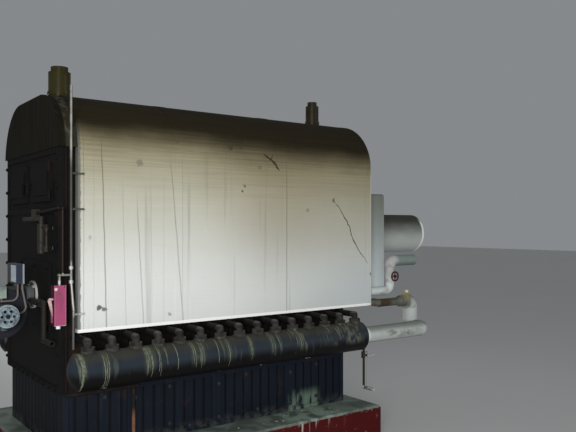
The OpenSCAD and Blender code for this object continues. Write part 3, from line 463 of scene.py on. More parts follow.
class BOILER_OT_plinth(bpy.types.Operator):
    """Finish the plinth and lay scale and rubble on it"""

    bl_idname = "boiler.plinth"
    bl_label = "Plinth"

    def execute(self, context):
        s = Shader("plinth_paint")
        chips = s.patches(0.64, 0.68, 14.0, 8.0)
        near_edge = s.fade(s.z, PLINTH_HIGH.z - 0.05, PLINTH_HIGH.z)
        worn = s.fade(s.noise(30.0, 5.0) + 0.22 * near_edge, 0.70, 0.76)
        # The plinth colour here is the red paint darkened as painted shade.
        red = s.shade(colours().plinth, 0.65 + 0.7 * s.noise(3.0, 6.0))
        side = s.mix(worn | chips * 0.6, red, (0.13, 0.115, 0.10))
        runs = s.patches(0.58, 0.68, 34.0, 3.0, (1.0, 1.0, 0.06))
        wet = s.fade(abs(s.x - 0.64), 0.28, 0.14) * s.fade(s.y, -0.4, -0.7)
        side = s.mix(runs * wet * s.fade(s.z, 0.06, 0.24), side, (0.36, 0.32, 0.27))
        side = s.mix(s.fade(s.z, 0.09, 0.0) * 0.6, side, (0.06, 0.05, 0.045))
        top = s.mix(s.patches(0.42, 0.62, 6.0, 8.0), (0.10, 0.125, 0.105), (0.19, 0.235, 0.20))
        top = s.mix(wet * s.patches(0.35, 0.6, 12.0, 5.0), top, (0.27, 0.36, 0.30))
        level = s.fade(s.up, 0.5, 0.8)
        height = s.noise(60.0, 6.0) + 2.0 * s.noise(8.0, 4.0) - chips * 0.6
        dress(s.finish(s.mix(level, side, top), 0.75 + 0.15 * level, height, 0.002), "plinth")
        grey = (0.30, 0.29, 0.24)
        crumbly = {"roughness": 0.9, "dusty": 0.2, "grain": 90.0, "depth": 0.001}
        rubble = casting("rubble", colours().scale, grey, 0.5, **crumbly)
        chance = randomness(1)
        mesh = bmesh.new()
        for k in range(sizes().debris):
            size = chance.uniform(0.003, 0.011)
            edge = BASE_LOW.y if k % 2 else -BASE_LOW.y
            y = edge + math.copysign(chance.uniform(0.012, 0.2), edge)
            x = chance.gauss(0.62, 0.22) if k % 3 else chance.uniform(-1.1, 1.1)
            lump(mesh, (min(x, 1.2), y, PLINTH_HIGH.z + size * 0.25), size, chance)
        piece("rubble_on_plinth", mesh, rubble)
        plaster = casting("plaster_flakes", (0.55, 0.53, 0.47), grey, 0.4, **crumbly)
        mesh = bmesh.new()
        for x in FLAKES:
            for reach in (-0.009, 0.008):
                spot = (x + reach, BASE_LOW.y + 0.007, BASE_HIGH.z + 0.003)
                lump(mesh, spot, chance.uniform(0.008, 0.012), chance)
        piece("flakes_on_ledge", mesh, plaster)
        return {"FINISHED"}


class BOILER_OT_base(bpy.types.Operator):
    """Finish the base panels and bolt them down"""

    bl_idname = "boiler.base"
    bl_label = "Base"

    def execute(self, context):
        s = Shader("base_iron")
        face = abs(BASE_LOW.y)
        # Painted shade in the recesses set back behind the outer face.
        recess_shade = s.fade(abs(s.y), face - 0.007, face - 0.012)
        broad = s.noise(4.0, 7.0)
        body = s.shade(colours().base, 0.6 + 0.9 * broad)
        body = s.mix(recess_shade * 0.75, body, (0.003, 0.0035, 0.005))
        streaks = s.patches(0.58, 0.72, 30.0, 4.0, (1.0, 1.0, 0.05))
        body = s.mix(streaks * 0.25, body, (0.022, 0.028, 0.036))
        rust = s.patches(0.60, 0.68, 9.0, 8.0)
        body = s.mix(rust * 0.2, body, colours().rust)
        wet = s.fade(abs(s.x - 0.725), 0.18, 0.11) * s.fade(s.z, 0.44, 0.34) * s.fade(s.y, 0.0, -0.4)
        wet = wet * s.patches(0.36, 0.56, 24.0, 6.0, (1.0, 1.0, 0.35))
        body = s.mix(wet, body, (0.100, 0.145, 0.112))
        low = s.fade(s.z, 0.36, 0.27) * s.patches(0.4, 0.6, 20.0, 5.0)
        body = s.mix(low * 0.25, body, colours().dust)
        settled = s.fade(s.up, 0.35, 0.95) * s.patches(0.2, 0.5, 22.0, 4.0)
        body = s.mix(settled * 0.8, body, (0.07, 0.065, 0.05))
        height = s.noise(150.0, 3.0) * 0.5 + broad * 1.5 + rust * 0.4
        finish = s.finish(body, 0.5 + 0.25 * broad + 0.2 * settled, height, 0.0009)
        dress(finish, "base_side_right", "base_side_left", "base_ends")
        iron = casting("base_bolts", (0.022, 0.024, 0.028), colours().rust, 0.35)
        mesh = bmesh.new()
        for side in (-1, 1):
            out = (0.0, side, 0.0)
            for x, z in PANEL_BOLTS:
                bolt(mesh, (x, side * (face - 0.009), z), out, sizes().base_bolt, x)
            for x in (-0.675, -0.050, 0.575):
                for z in (0.563, 0.330):
                    bolt(mesh, (x + 0.017, side * face, z), out, sizes().base_bolt, z)
        piece("base_bolts", mesh, iron)
        return {"FINISHED"}


class BOILER_OT_sections(bpy.types.Operator):
    """Finish the cast sections"""

    bl_idname = "boiler.sections"
    bl_label = "Sections"

    def execute(self, context):
        soot, brown = (0.008, 0.006, 0.005), (0.020, 0.011, 0.007)
        iron = casting("section_iron", soot, brown, 0.2, 0.8, 0.3, 120.0, 0.0015)
        dress(iron, *(f"section_{n:02d}" for n in range(1, SECTION_COUNT + 1)))
        return {"FINISHED"}


class BOILER_OT_header(bpy.types.Operator):
    """Finish the return headers and their nipples and run scale down them"""

    bl_idname = "boiler.header"
    bl_label = "Headers"

    def run(self, mesh, x, side, start, end, width, chance):
        """Adds one run of scale round a header, between two angles from its crown."""
        radius = HEADER_RADIUS + 0.0002
        steps = max(6, round((end - start) / 6))
        points, outward, widths = [], [], []
        drift = 0.0
        for k in range(steps + 1):
            a = math.radians(start + (end - start) * k / steps)
            drift += chance.uniform(-1.0, 1.0) * 0.0016
            out = Vector((0.0, -math.sin(a), math.cos(a)))
            spot = Vector((x + drift, 0.0, 0.0)) + out * radius
            points.append(Vector((spot.x, side * (spot.y - HEADER_Y), spot.z + HEADER_Z)))
            outward.append(Vector((0.0, side * out.y, out.z)))
            widths.append(width * chance.uniform(0.75, 1.25) * (1.25 - 0.5 * k / steps))
        strip(mesh, points, outward, widths, sizes().drip_rise)

    def execute(self, context):
        s = Shader("header_paint")
        level = (s.z - HEADER_Z) / HEADER_RADIUS
        broad = s.noise(6.0, 7.0)
        body = s.shade(colours().header, 0.75 + 0.5 * broad)
        # Painted shade under the headers: the lower half goes near black.
        under = s.fade(level + 0.3 * s.noise(9.0, 5.0), 0.38, -0.22)
        body = s.mix(under, body, (0.0035, 0.003, 0.003))
        top = s.fade(level + 0.5 * s.noise(14.0, 6.0), 0.62, 1.15)
        body = s.mix(top * 0.9, body, (0.040, 0.039, 0.031))
        sway = (s.noise(7.0, 3.0) - 0.5) * 0.04
        for x in STAINS:
            stain = s.fade(abs(s.x + sway - x), 0.034, 0.006) * s.fade(level, -0.5, 0.3)
            body = s.mix(stain * 0.45, body, (0.075, 0.088, 0.060))
        streaks = s.patches(0.57, 0.66, 45.0, 4.0, (1.0, 0.12, 0.12))
        leaks = s.patches(0.45, 0.6, 3.2, 2.0, (1.0, 0.0, 0.0))
        body = s.mix(streaks * leaks * s.fade(level, -0.6, 0.2) * 0.6, body, colours().scale)
        rear = s.fade(s.x, 0.60, 0.90) * s.fade(s.x, 1.07, 1.00) * s.fade(level, -0.45, 0.1)
        mottle = s.patches(0.44, 0.60, 26.0, 8.0, (1.0, 0.5, 0.5))
        body = s.mix(mottle * rear * 0.9, body, (0.105, 0.105, 0.080))
        height = s.noise(120.0, 4.0) * 0.4 + broad + streaks * leaks + mottle * rear
        finish = s.finish(body, 0.42 + 0.35 * top + 0.2 * mottle * rear, height, 0.0012)
        dress(finish, "return_header_right", "return_header_left")
        s = Shader("nipple_iron")
        body = s.mix(s.patches(0.40, 0.62, 22.0, 6.0), (0.033, 0.031, 0.029), (0.015, 0.013, 0.011))
        body = s.mix(s.fade(s.up, 0.3, 0.9) * 0.5, body, colours().dust)
        # Painted shade: the nipples go near black on their inner side, towards the boiler.
        body = s.mix(s.fade(abs(s.y), HEADER_Y - 0.016, HEADER_Y - 0.034), body, (0.004, 0.0035, 0.003))
        fittings = s.finish(body, 0.75, s.noise(120.0, 4.0), 0.0008)
        dress(fittings, "nipples_right", "nipples_left")
        lime = Shader("lime_scale")
        grain = lime.noise(55.0, 6.0)
        tint = lime.mix(lime.fade(grain, 0.4, 0.65), colours().scale, (0.085, 0.095, 0.065))
        lime = lime.finish(lime.shade(tint, 0.6 + 0.8 * lime.noise(18.0, 5.0)), 0.85, grain, 0.0015)
        chance = randomness(2)
        mesh = bmesh.new()
        for x, start, end, width in SCALE_RUNS:
            self.run(mesh, x, 1, start, end, width, chance)
        for _ in range(6):
            x = chance.uniform(0.66, 1.00)
            start = chance.uniform(10, 60)
            end = start + chance.uniform(15, 50)
            self.run(mesh, x, 1, start, end, chance.uniform(0.003, 0.006), chance)
        for _ in range(30):
            x = chance.choice(SECTION_X) + chance.gauss(0.0, 0.03)
            start = chance.uniform(8, 40)
            end = start + chance.uniform(40, 110)
            self.run(mesh, x, -1, start, end, chance.uniform(0.003, 0.008), chance)
        piece("scale_runs", mesh, lime, smooth=True)
        mesh = bmesh.new()
        boss = HEADER_HIGH.z - 0.004
        for side in (-1, 1):
            y = side * HEADER_Y
            for x in SECTION_X:
                for _ in range(9):
                    a = chance.uniform(0, 2 * math.pi)
                    spot = (x + BOSS_RADIUS * math.cos(a), y + BOSS_RADIUS * math.sin(a), boss - 0.005)
                    lump(mesh, spot, chance.uniform(0.003, 0.007), chance)
                for k in range(4):
                    spot = (x, y, boss + 0.024 + THREAD_PITCH * k)
                    hoop(mesh, spot, (0, 0, 1), THREAD_RADIUS, 0.0011, 20, 5)
        piece("nipple_threads", mesh, fittings, smooth=True)
        return {"FINISHED"}


class BOILER_OT_jacket(bpy.types.Operator):
    """Finish the jacket's sheets and lay torn skin on them"""

    bl_idname = "boiler.jacket"
    bl_label = "Jacket"

    def sheet_face(self, z):
        """Gives the place in Y and the outward direction of the right side's sheet at a height."""
        above = max(z - (JACKET_HIGH.z - LAP - SHOULDER), 0.0)
        inward = math.sqrt(SHOULDER**2 - above**2)
        return JACKET_LOW.y + LAP + SHOULDER - inward + 0.0004, (0.0, -inward / SHOULDER, above / SHOULDER)

    def execute(self, context):
        s = Shader("jacket_white")
        right = s.fade(s.y, 0.2, -0.2)
        broad = s.noise(1.6, 5.0)
        rise = s.z + 0.16 * (broad - 0.5) + 0.05 * (s.noise(9.0, 4.0, (0.3, 1.0, 1.0)) - 0.5)
        rise = rise + 0.03 * s.fade(s.x, -0.5, 0.3) + 0.035 * s.fade(s.x, 0.1, 0.9)
        rise = rise - 0.02 * s.fade(s.x, -0.6, -1.1)
        # Towards the top the jacket darkens and yellows: partly dust, partly painted shade.
        body = s.mix(s.fade(rise, 1.25, 2.05), colours().jacket, (0.45, 0.435, 0.335))
        warm = s.fade(abs(s.x - 0.45), 0.75, 0.1) * s.fade(s.z, 1.35, 1.8)
        body = s.mix(warm * 0.3, body, (0.40, 0.34, 0.24))
        # Painted shadow: a tan shade over the upper middle and rear of the jacket.
        painted_shadow = s.fade(s.x, -0.35, 0.5) * s.fade(s.z, 1.05, 1.6)
        body = s.mix(painted_shadow * 0.22, body, (0.24, 0.205, 0.115))
        cool = s.fade(s.x, 0.3, 1.2) * s.fade(s.z, 1.6, 1.1)
        body = s.mix(cool * 0.55, body, (0.46, 0.53, 0.54))
        # Painted shade: the jacket darkens a little towards the rear.
        body = s.shade(body, 1.0 - 0.09 * s.fade(s.x, -0.1, 0.45))
        # Higher still it darkens to tan: partly dust, partly painted shade.
        body = s.mix(s.fade(rise, 1.80, 2.30), body, (0.24, 0.205, 0.115))
        # Painted shadow: a dark strip along the curled front edge of the right side.
        curl_shadow_edge = JACKET_FRONT.x + 0.004 + 0.016 * s.noise(30.0, 3.0)
        body = s.mix(s.fade(s.x - curl_shadow_edge, 0.006, 0.0) * right * 0.85, body, (0.12, 0.125, 0.115))
        lines = s.noise(26.0, 4.0, (0.05, 1.0, 4.0))
        body = s.shade(body, 1.0 + (lines - 0.5) * (0.06 + 1.1 * s.fade(s.z, 1.7, 2.3)))
        marks = None
        wobble = (s.noise(4.0, 2.0, (0.0, 0.0, 1.0)) - 0.5) * 0.02
        for x, lean, top, width, strength in SCRATCHES:
            offset = abs(s.x + wobble - x - lean * (s.z - MARK_HEIGHT))
            mark = s.fade(offset, width, width * 0.25) * s.fade(s.z, top, top - 0.25) * (0.6 * strength)
            marks = mark if marks is None else marks | mark
        for x, z, radius, strength in SPOTS:
            reach = s.distance((x, JACKET_LOW.y, z)) + 0.035 * (s.noise(45.0, 3.0) - 0.5)
            marks = marks | s.fade(reach, radius, radius * 0.5) * strength
        streaks = s.patches(0.60, 0.70, 17.0, 4.0, (1.0, 1.0, 0.03)) * 0.22
        marks = marks * right | streaks * s.fade(s.z, 2.35, 1.9)
        body = s.mix(marks, body, (0.075, 0.070, 0.056))
        # The crest goes near black: partly dust and smoke, partly painted shade.
        soot = s.shade(colours().jacket_dust_and_shade, 0.5 + lines)
        body = s.mix(s.fade(rise, 2.09, 2.35) * 0.98, body, soot)
        # Painted highlight: a near-white band along the bottom edge.
        hem_highlight = s.fade(s.z, JACKET_LOW.z + 0.021, JACKET_LOW.z + 0.019)
        body = s.mix(hem_highlight * 0.9, body, (0.93, 0.93, 0.90))
        # Painted highlight: a pale line along the rear edge of the right side.
        rear_edge_highlight = s.fade(s.x, JACKET_REAR.x - 0.012, JACKET_REAR.x - 0.006) * s.fade(s.z, 2.25, 2.05)
        body = s.mix(rear_edge_highlight * 0.4, body, (0.60, 0.61, 0.56))
        specks = s.fade(s.cells(34.0), 0.10, 0.06) * s.patches(0.5, 0.6, 5.0)
        body = s.mix(specks * 0.4, body, (0.20, 0.17, 0.12))
        height = broad * 4.0 + s.noise(70.0, 4.0) * 0.12 + lines * 0.15 - marks * 0.25
        finish = s.finish(body, 0.55 + 0.3 * s.fade(s.z, 1.8, 2.4), height, 0.004)
        dress(finish, "jacket_front_sheet", "jacket_middle_sheet", "jacket_rear_sheet")
        torn = paint("torn_edge", (0.050, 0.042, 0.024), (0.022, 0.018, 0.010), 0.5, 0.8)
        chance = randomness(3)
        mesh = bmesh.new()
        for width, *path in TEARS:
            points, outward = [], []
            for (x0, z0), (x1, z1) in zip(path, path[1:]):
                for k in range(5):
                    t = k / 5
                    z = z0 + t * (z1 - z0)
                    y, out = self.sheet_face(z)
                    points.append((x0 + t * (x1 - x0) + chance.uniform(-0.004, 0.004), y, z))
                    outward.append(out)
            widths = [width * chance.uniform(0.6, 1.2) for _ in points]
            strip(mesh, points, outward, widths, 0.0015)
        piece("jacket_tears", mesh, torn)
        return {"FINISHED"}


class BOILER_OT_front(bpy.types.Operator):
    """Finish the lagging, the cast front, its doors and their bolts"""

    bl_idname = "boiler.front"
    bl_label = "Front"

    def execute(self, context):
        s = Shader("lagging_tan")
        broad = s.noise(3.5, 7.0)
        folds = s.noise(30.0, 3.0, (1.0, 1.0, 0.06))
        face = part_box("front_lagging")[0].x
        # Painted shade: the front face of the lagging goes near black.
        front = s.fade(s.x, face + 0.046, face + 0.038)
        body = s.mix(s.fade(broad, 0.42, 0.62), colours().lagging, (0.018, 0.015, 0.008))
        body = s.mix(s.fade(folds, 0.50, 0.62) * 0.55, body, (0.080, 0.078, 0.056))
        body = s.mix(front * 0.9, body, (0.005, 0.004, 0.0015))
        body = s.shade(body, 0.6 + 0.8 * s.noise(24.0, 6.0))
        height = s.noise(40.0, 7.0) * 0.5 + 2.0 * broad + 1.5 * folds
        dress(s.finish(body, 0.9, height, 0.005), "front_lagging")
        # The front castings take the iron colour, darkened as painted shade.
        iron = casting("front_iron", colours().iron, (0.010, 0.007, 0.006), 0.3, 0.75, 0.12)
        dress(iron, "front_plate", "flue_doors", "burner_plate")
        mesh = bmesh.new()
        low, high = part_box("front_plate")
        out = (-1.0, 0.0, 0.0)
        for side in (-1, 1):
            for k in range(9):
                z = low.z + 0.07 + (high.z - low.z - 0.14) * k / 8
                bolt(mesh, (low.x, side * (high.y - 0.018), z), out, sizes().front_bolt, k)
            for k in range(5):
                bolt(mesh, (low.x, side * (0.06 + 0.11 * k), low.z + 0.018), out, sizes().front_bolt, k)
        low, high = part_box("burner_plate")
        for y in (low.y + 0.03, (low.y + high.y) / 2, high.y - 0.03):
            for z in (low.z + 0.03, high.z - 0.03):
                bolt(mesh, (low.x, y, z), out, sizes().front_bolt, y)
        piece("front_bolts", mesh, iron)
        return {"FINISHED"}


class BOILER_OT_burner(bpy.types.Operator):
    """Finish the burner, its motor, control box and gas pipe"""

    bl_idname = "boiler.burner"
    bl_label = "Burner"

    def execute(self, context):
        s = Shader("burner_paint")
        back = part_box("burner")[1].x
        tube = s.fade(s.x, back - 0.070, back - 0.052)
        casing = s.shade(colours().casing, 0.7 + 0.7 * s.noise(14.0, 6.0))
        body = s.mix(tube, (0.016, 0.018, 0.024), casing)
        flange = s.fade(s.x, back - 0.0150, back - 0.0135)
        body = s.mix(flange, body, (0.012, 0.013, 0.014))
        plate = middle("burner_plate")
        reach = s.distance((back - 0.010, plate.y, plate.z))
        # Painted highlight: a pale line round the outer edge of the flange.
        body = s.mix(flange * s.fade(reach, 0.082, 0.086), body, (0.42, 0.42, 0.38))
        settled = s.fade(s.up, 0.5, 0.95) * 0.5
        body = s.mix(settled, body, colours().dust)
        dress(s.finish(body, 0.5, s.noise(90.0, 3.0) * 0.3 + s.noise(5.0, 3.0), 0.001), "burner")
        s = Shader("motor_paint")
        low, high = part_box("burner_motor")
        centre = (low.x + high.x) / 2
        mottle = s.patches(0.42, 0.60, 48.0, 6.0)
        body = s.mix(mottle, (0.20, 0.26, 0.29), (0.085, 0.105, 0.12))
        end = s.fade(s.y, low.y + 0.034, low.y + 0.020)
        body = s.shade(body, 0.35 + 0.75 * end)
        # Painted highlight on the upper part of the motor's rim.
        rim_highlight = s.fade(abs(s.y - low.y - 0.027), 0.008, 0.005) * s.fade(s.up, -0.4, 0.3)
        body = s.mix(rim_highlight * 0.8, body, (0.50, 0.55, 0.58))
        reach = s.distance((centre, low.y, high.z - 0.071))
        # Painted shade in the openings set back behind the end; the hub is dark as well.
        shaded_openings = s.fade(reach, 0.056, 0.052) * s.fade(s.y, low.y + 0.007, low.y + 0.010)
        hub = s.fade(reach, 0.017, 0.012)
        body = s.mix((hub | shaded_openings) * 0.95, body, (0.004, 0.005, 0.006))
        dress(s.finish(body, 0.45 + 0.2 * mottle, s.noise(80.0, 3.0), 0.0006), "burner_motor")
        s = Shader("control_paint")
        low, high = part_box("burner_control")
        side = s.fade(s.right, 0.5, 0.8)
        cover = s.fade(s.x, low.x + 0.0036, low.x + 0.0028) | s.fade(s.up, 0.5, 0.8) * 0.6
        pale = s.shade((0.42, 0.47, 0.52), 0.8 + 0.4 * s.noise(20.0, 5.0))
        body = s.mix(cover, (0.045, 0.050, 0.055), pale)
        body = s.mix(cover * s.fade(s.z, high.z - 0.07, high.z - 0.12) * 0.4, body, (0.62, 0.66, 0.68))
        body = s.mix(side, body, (0.030, 0.038, 0.060))
        seam = side * s.fade(s.x, high.x - 0.012, high.x - 0.009)
        body = s.mix(seam * 0.8, body, (0.35, 0.38, 0.40))
        dress(s.finish(body, 0.4, s.noise(70.0, 3.0), 0.0005), "burner_control")
        dress(paint("actuator_green", (0.30, 0.36, 0.32), (0.08, 0.10, 0.08), 0.4, 0.7), "burner_actuator")
        dress(paint("lead_grey", (0.15, 0.13, 0.125), (0.05, 0.04, 0.04), 0.4, 0.5), "burner_leads")
        dress(casting("gas_iron", (0.014, 0.0125, 0.010), (0.022, 0.013, 0.009), 0.35, 0.6, 0.3), "gas_train")
        heads = paint("casing_screws", (0.30, 0.30, 0.28), (0.08, 0.07, 0.06), 0.5, 0.5)
        mesh = bmesh.new()
        out = (-1.0, 0.0, 0.0)
        circle = 0.079
        for k in range(4):
            a = math.pi / 4 + math.pi / 2 * k
            spot = (back - 0.014, plate.y + circle * math.cos(a), plate.z + circle * math.sin(a))
            bolt(mesh, spot, out, sizes().front_bolt * 0.8, a)
        low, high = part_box("burner_control")
        for y in (low.y + 0.010, low.y + 0.118):
            for z in (high.z - 0.020, high.z - 0.104):
                screw(mesh, (low.x, y, z), out, sizes().small_screw)
        piece("burner_screws", mesh, heads)
        return {"FINISHED"}


class BOILER_OT_controls(bpy.types.Operator):
    """Finish the water column, switch box, lever, conduit and ledge pipe"""

    bl_idname = "boiler.controls"
    bl_label = "Controls"

    def execute(self, context):
        brass = casting("column_brass", (0.024, 0.022, 0.016), (0.012, 0.010, 0.008), 0.5, 0.5, 0.3)
        dress(brass, "water_column")
        s = Shader("switch_red")
        low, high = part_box("switch_box")
        worn = s.patches(0.44, 0.60, 20.0, 6.0, (1.6, 1.0, 0.3))
        body = s.mix(worn * 0.45, colours().switch, (0.19, 0.045, 0.09))
        edge = s.fade(s.x, high.x - 0.008, high.x - 0.003) | s.fade(s.x, low.x + 0.010, low.x + 0.004) * 0.6
        body = s.mix(edge * 0.5, body, (0.46, 0.16, 0.24))
        spot = s.distance((low.x + 0.010, low.y, high.z - 0.022))
        body = s.mix(s.fade(spot, 0.012, 0.007), body, (0.72, 0.50, 0.55))
        # Painted shade: the front and top faces of the switch box go dark maroon.
        body = s.mix(s.fade(s.front, 0.4, 0.8) | s.fade(s.up, 0.4, 0.8) * 0.6, body, (0.055, 0.008, 0.022))
        gland = s.fade(s.z, low.z + 0.0235, low.z + 0.0205)
        body = s.mix(gland, body, s.shade((0.86, 0.82, 0.82), 0.5 + s.noise(60.0, 2.0)))
        dress(s.finish(body, 0.45 + 0.2 * worn, s.noise(70.0, 3.0), 0.0006), "switch_box")
        s = Shader("lever_grey")
        low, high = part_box("switch_lever")
        body = s.mix(s.fade(s.z, high.z - 0.05, low.z + 0.02), (0.60, 0.42, 0.42), (0.22, 0.045, 0.095))
        body = s.mix(s.patches(0.45, 0.6, 60.0, 4.0) * 0.4, body, (0.20, 0.10, 0.10))
        dress(s.finish(body, 0.45), "switch_lever")
        s = Shader("conduit_steel")
        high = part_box("conduit")[1]
        dull = s.patches(0.35, 0.6, 20.0, 5.0)
        body = s.mix(dull, (0.19, 0.19, 0.175), (0.085, 0.08, 0.07))
        fitting = s.fade(abs(abs(s.z - 1.376) - 0.042), 0.013, 0.009)
        offset = s.fade(abs(s.z - 1.245), 0.10, 0.07)
        # Painted highlight down the outer side; the fittings and the offset are pale.
        painted_highlight = s.fade(s.right, 0.70, 0.95)
        body = s.mix((fitting | offset * painted_highlight | painted_highlight * 0.5) * 0.8, body, (0.55, 0.55, 0.51))
        body = s.mix(s.fade(s.x, high.x - 0.034, high.x - 0.031), body, (0.50, 0.50, 0.45))
        dim = s.fade(s.z, 1.44, 1.47) * s.fade(s.z, 2.15, 2.00)
        body = s.mix(dim * 0.85, body, (0.030, 0.031, 0.026))
        feeler = s.fade(s.x, high.x - 0.115, high.x - 0.125) * s.fade(s.z, 1.384, 1.392)
        body = s.mix(feeler, body, (0.018, 0.011, 0.009))
        tip = s.fade(s.z, 1.14, 1.11) * s.fade(s.x, high.x - 0.031, high.x - 0.034)
        body = s.mix(tip, body, (0.085, 0.082, 0.080))
        dress(s.finish(body, 0.5, s.noise(90.0, 3.0), 0.0004, 0.35), "conduit")
        s = Shader("rusty_pipe")
        body = s.mix(s.fade(s.z, 0.52, 0.42), (0.010, 0.008, 0.007), (0.17, 0.075, 0.045))
        body = s.mix(s.patches(0.5, 0.62, 25.0, 6.0) * 0.5, body, (0.025, 0.015, 0.010))
        body = s.mix(s.fade(s.up, 0.5, 0.95) * 0.3, body, (0.045, 0.035, 0.024))
        dress(s.finish(body, 0.8, s.noise(120.0, 4.0), 0.0008), "ledge_pipe")
        heads = casting("box_screws", (0.16, 0.12, 0.12), (0.05, 0.03, 0.03), 0.4)
        low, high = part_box("switch_box")
        mesh = bmesh.new()
        out = (0.0, -1.0, 0.0)
        for x in (low.x + 0.009, high.x - 0.009):
            for z in (low.z + 0.034, high.z - 0.010):
                screw(mesh, (x, low.y, z), out, sizes().small_screw)
        button = (low.x + 0.030, low.y, high.z - 0.050)
        turned(mesh, button, out, [(0.008, 0.0), (0.007, 0.003)], 16)
        piece("box_screws", mesh, heads)
        guard = paint("glass_guard", (0.06, 0.058, 0.045), (0.03, 0.025, 0.02), 0.4, 0.4)
        mesh = bmesh.new()
        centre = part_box("water_column")[0].x + 0.046
        for z in (1.525, 1.645):
            for x in (centre - 0.016, centre + 0.016):
                turned(mesh, (x, -0.520, z), (0.0, 0.0, 1.0), [(0.002, 0.0), (0.002, 0.02)], 8)
        piece("glass_guard", mesh, guard)
        return {"FINISHED"}


class BOILER_OT_rear(bpy.types.Operator):
    """Finish the risers, smoke box, flue and rear pipes"""

    bl_idname = "boiler.rear"
    bl_label = "Rear"

    def execute(self, context):
        s = Shader("pipe_lagging")
        low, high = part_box("return_pipe")
        body = s.shade(colours().pipe, 0.85 + 0.3 * s.noise(9.0, 5.0))
        # The top is darker: partly grime, partly painted shade.
        body = s.mix(s.fade(s.up + 0.3 * s.noise(6.0, 4.0), 0.25, 1.0) * 0.7, body, (0.105, 0.125, 0.105))
        # Painted shade on the underside.
        body = s.mix(s.fade(s.up, -0.75, -0.98), body, (0.15, 0.16, 0.15))
        foot = s.fade(s.x, low.x + 0.075, low.x + 0.045) * s.fade(s.z, 0.90, 0.87)
        body = s.mix(foot, body, (0.78, 0.79, 0.76))
        grime = s.patches(0.55, 0.70, 16.0, 7.0, (0.5, 1.0, 1.0))
        body = s.mix(grime * 0.7, body, (0.14, 0.13, 0.10))
        cross = s.fade(s.z, 0.965, 1.005) * s.fade(s.x, high.x - 0.085, high.x - 0.150)
        bald = s.patches(0.4, 0.6, 12.0, 5.0)
        bare = s.mix(bald, (0.085, 0.092, 0.060), (0.036, 0.036, 0.022))
        body = s.mix(cross * 0.85, body, bare)
        pipe_y = -0.672
        rust = s.fade(s.distance((1.46, pipe_y, 1.041)) + 0.06 * s.noise(20.0, 4.0), 0.13, 0.07)
        body = s.mix(rust, body, (0.055, 0.036, 0.020))
        tan = s.fade(s.distance((high.x - 0.125, pipe_y, 1.080)) + 0.06 * s.noise(18.0, 4.0), 0.11, 0.06)
        body = s.mix(tan * 0.85, body, (0.30, 0.25, 0.14))
        plug = s.fade(s.z, high.z - 0.024, high.z - 0.018)
        body = s.mix(plug, body, (0.62, 0.58, 0.36))
        height = s.noise(70.0, 4.0) * 0.3 + s.noise(9.0, 4.0) * 2.0 - grime * 0.3
        dress(s.finish(body, 0.6, height, 0.002), "return_pipe")
        dress(paint("hood_paint", colours().pipe, (0.16, 0.145, 0.11), 0.30, 0.5), "rear_hood")
        s = Shader("smoke_box")
        low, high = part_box("smoke_box")
        # Painted shade: the smoke box darkens from its bottom to its top.
        body = s.mix(s.fade(s.z, high.z + 0.08, low.z - 0.08), (0.155, 0.165, 0.140), (0.53, 0.59, 0.59))
        body = s.shade(body, 0.85 + 0.3 * s.noise(8.0, 6.0, (1.0, 1.0, 0.3)))
        stain = s.patches(0.56, 0.70, 9.0, 6.0, (1.0, 1.0, 0.5))
        body = s.mix(stain * 0.5, body, (0.24, 0.21, 0.15))
        # Painted highlight along the front edge.
        edge = s.fade(s.x, low.x + 0.030, low.x + 0.012) * s.fade(s.z, 1.95, 1.75)
        body = s.mix(edge * 0.6, body, (0.70, 0.71, 0.68))
        dress(s.finish(body, 0.6, s.noise(60.0, 4.0) * 0.3 + s.noise(6.0, 4.0) * 2.0, 0.002), "smoke_box")
        s = Shader("feed_lagging")
        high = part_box("feed_pipe")[1]
        body = s.mix(s.fade(s.x, high.x - 0.26, high.x - 0.20), (0.43, 0.42, 0.41), (0.20, 0.26, 0.24))
        foot = s.fade(s.z, 1.27, 1.15)
        body = s.mix(foot, body, (0.58, 0.63, 0.62))
        # Painted shade on the underside, weaker at the foot.
        body = s.mix(s.fade(s.up, 0.1, -0.8) * (0.8 - 0.4 * foot), body, (0.14, 0.16, 0.16))
        grime = s.patches(0.52, 0.66, 14.0, 6.0)
        body = s.mix(grime * 0.5, body, (0.22, 0.20, 0.17))
        dress(s.finish(body, 0.6, s.noise(60.0, 4.0) * 0.3 + s.noise(8.0, 4.0) * 2.0, 0.002), "feed_pipe")
        s = Shader("flue_lagging")
        low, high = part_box("flue_pipe")
        ripple = s.noise(14.0, 5.0, (0.4, 1.0, 1.0))
        level = s.z + 0.05 * (ripple - 0.5)
        # Painted light: the flue is pale at the bottom and darkens upwards.
        body = s.mix(s.fade(level, low.z + 0.08, low.z + 0.33), (0.47, 0.50, 0.48), (0.045, 0.047, 0.035))
        # Painted highlight on the rim of its end and along its bottom edge.
        rim_highlight = s.fade(s.x, high.x - 0.028, high.x - 0.020) * s.fade(s.z, high.z - 0.03, high.z - 0.10)
        body = s.mix(rim_highlight | s.fade(s.z, low.z + 0.016, low.z + 0.006), body, (0.80, 0.82, 0.78))
        dress(s.finish(body, 0.65, ripple + s.noise(60.0, 4.0) * 0.3, 0.003), "flue_pipe")
        # The risers' cream lagging, darkened to brown as painted shade.
        shaded_riser_paint = paint("riser_lagging", (0.034, 0.030, 0.009), (0.017, 0.014, 0.005), 0.5, 0.2)
        dress(shaded_riser_paint, "front_steam_riser", "rear_steam_riser")
        s = Shader("drain_iron")
        low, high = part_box("drain_pipe")
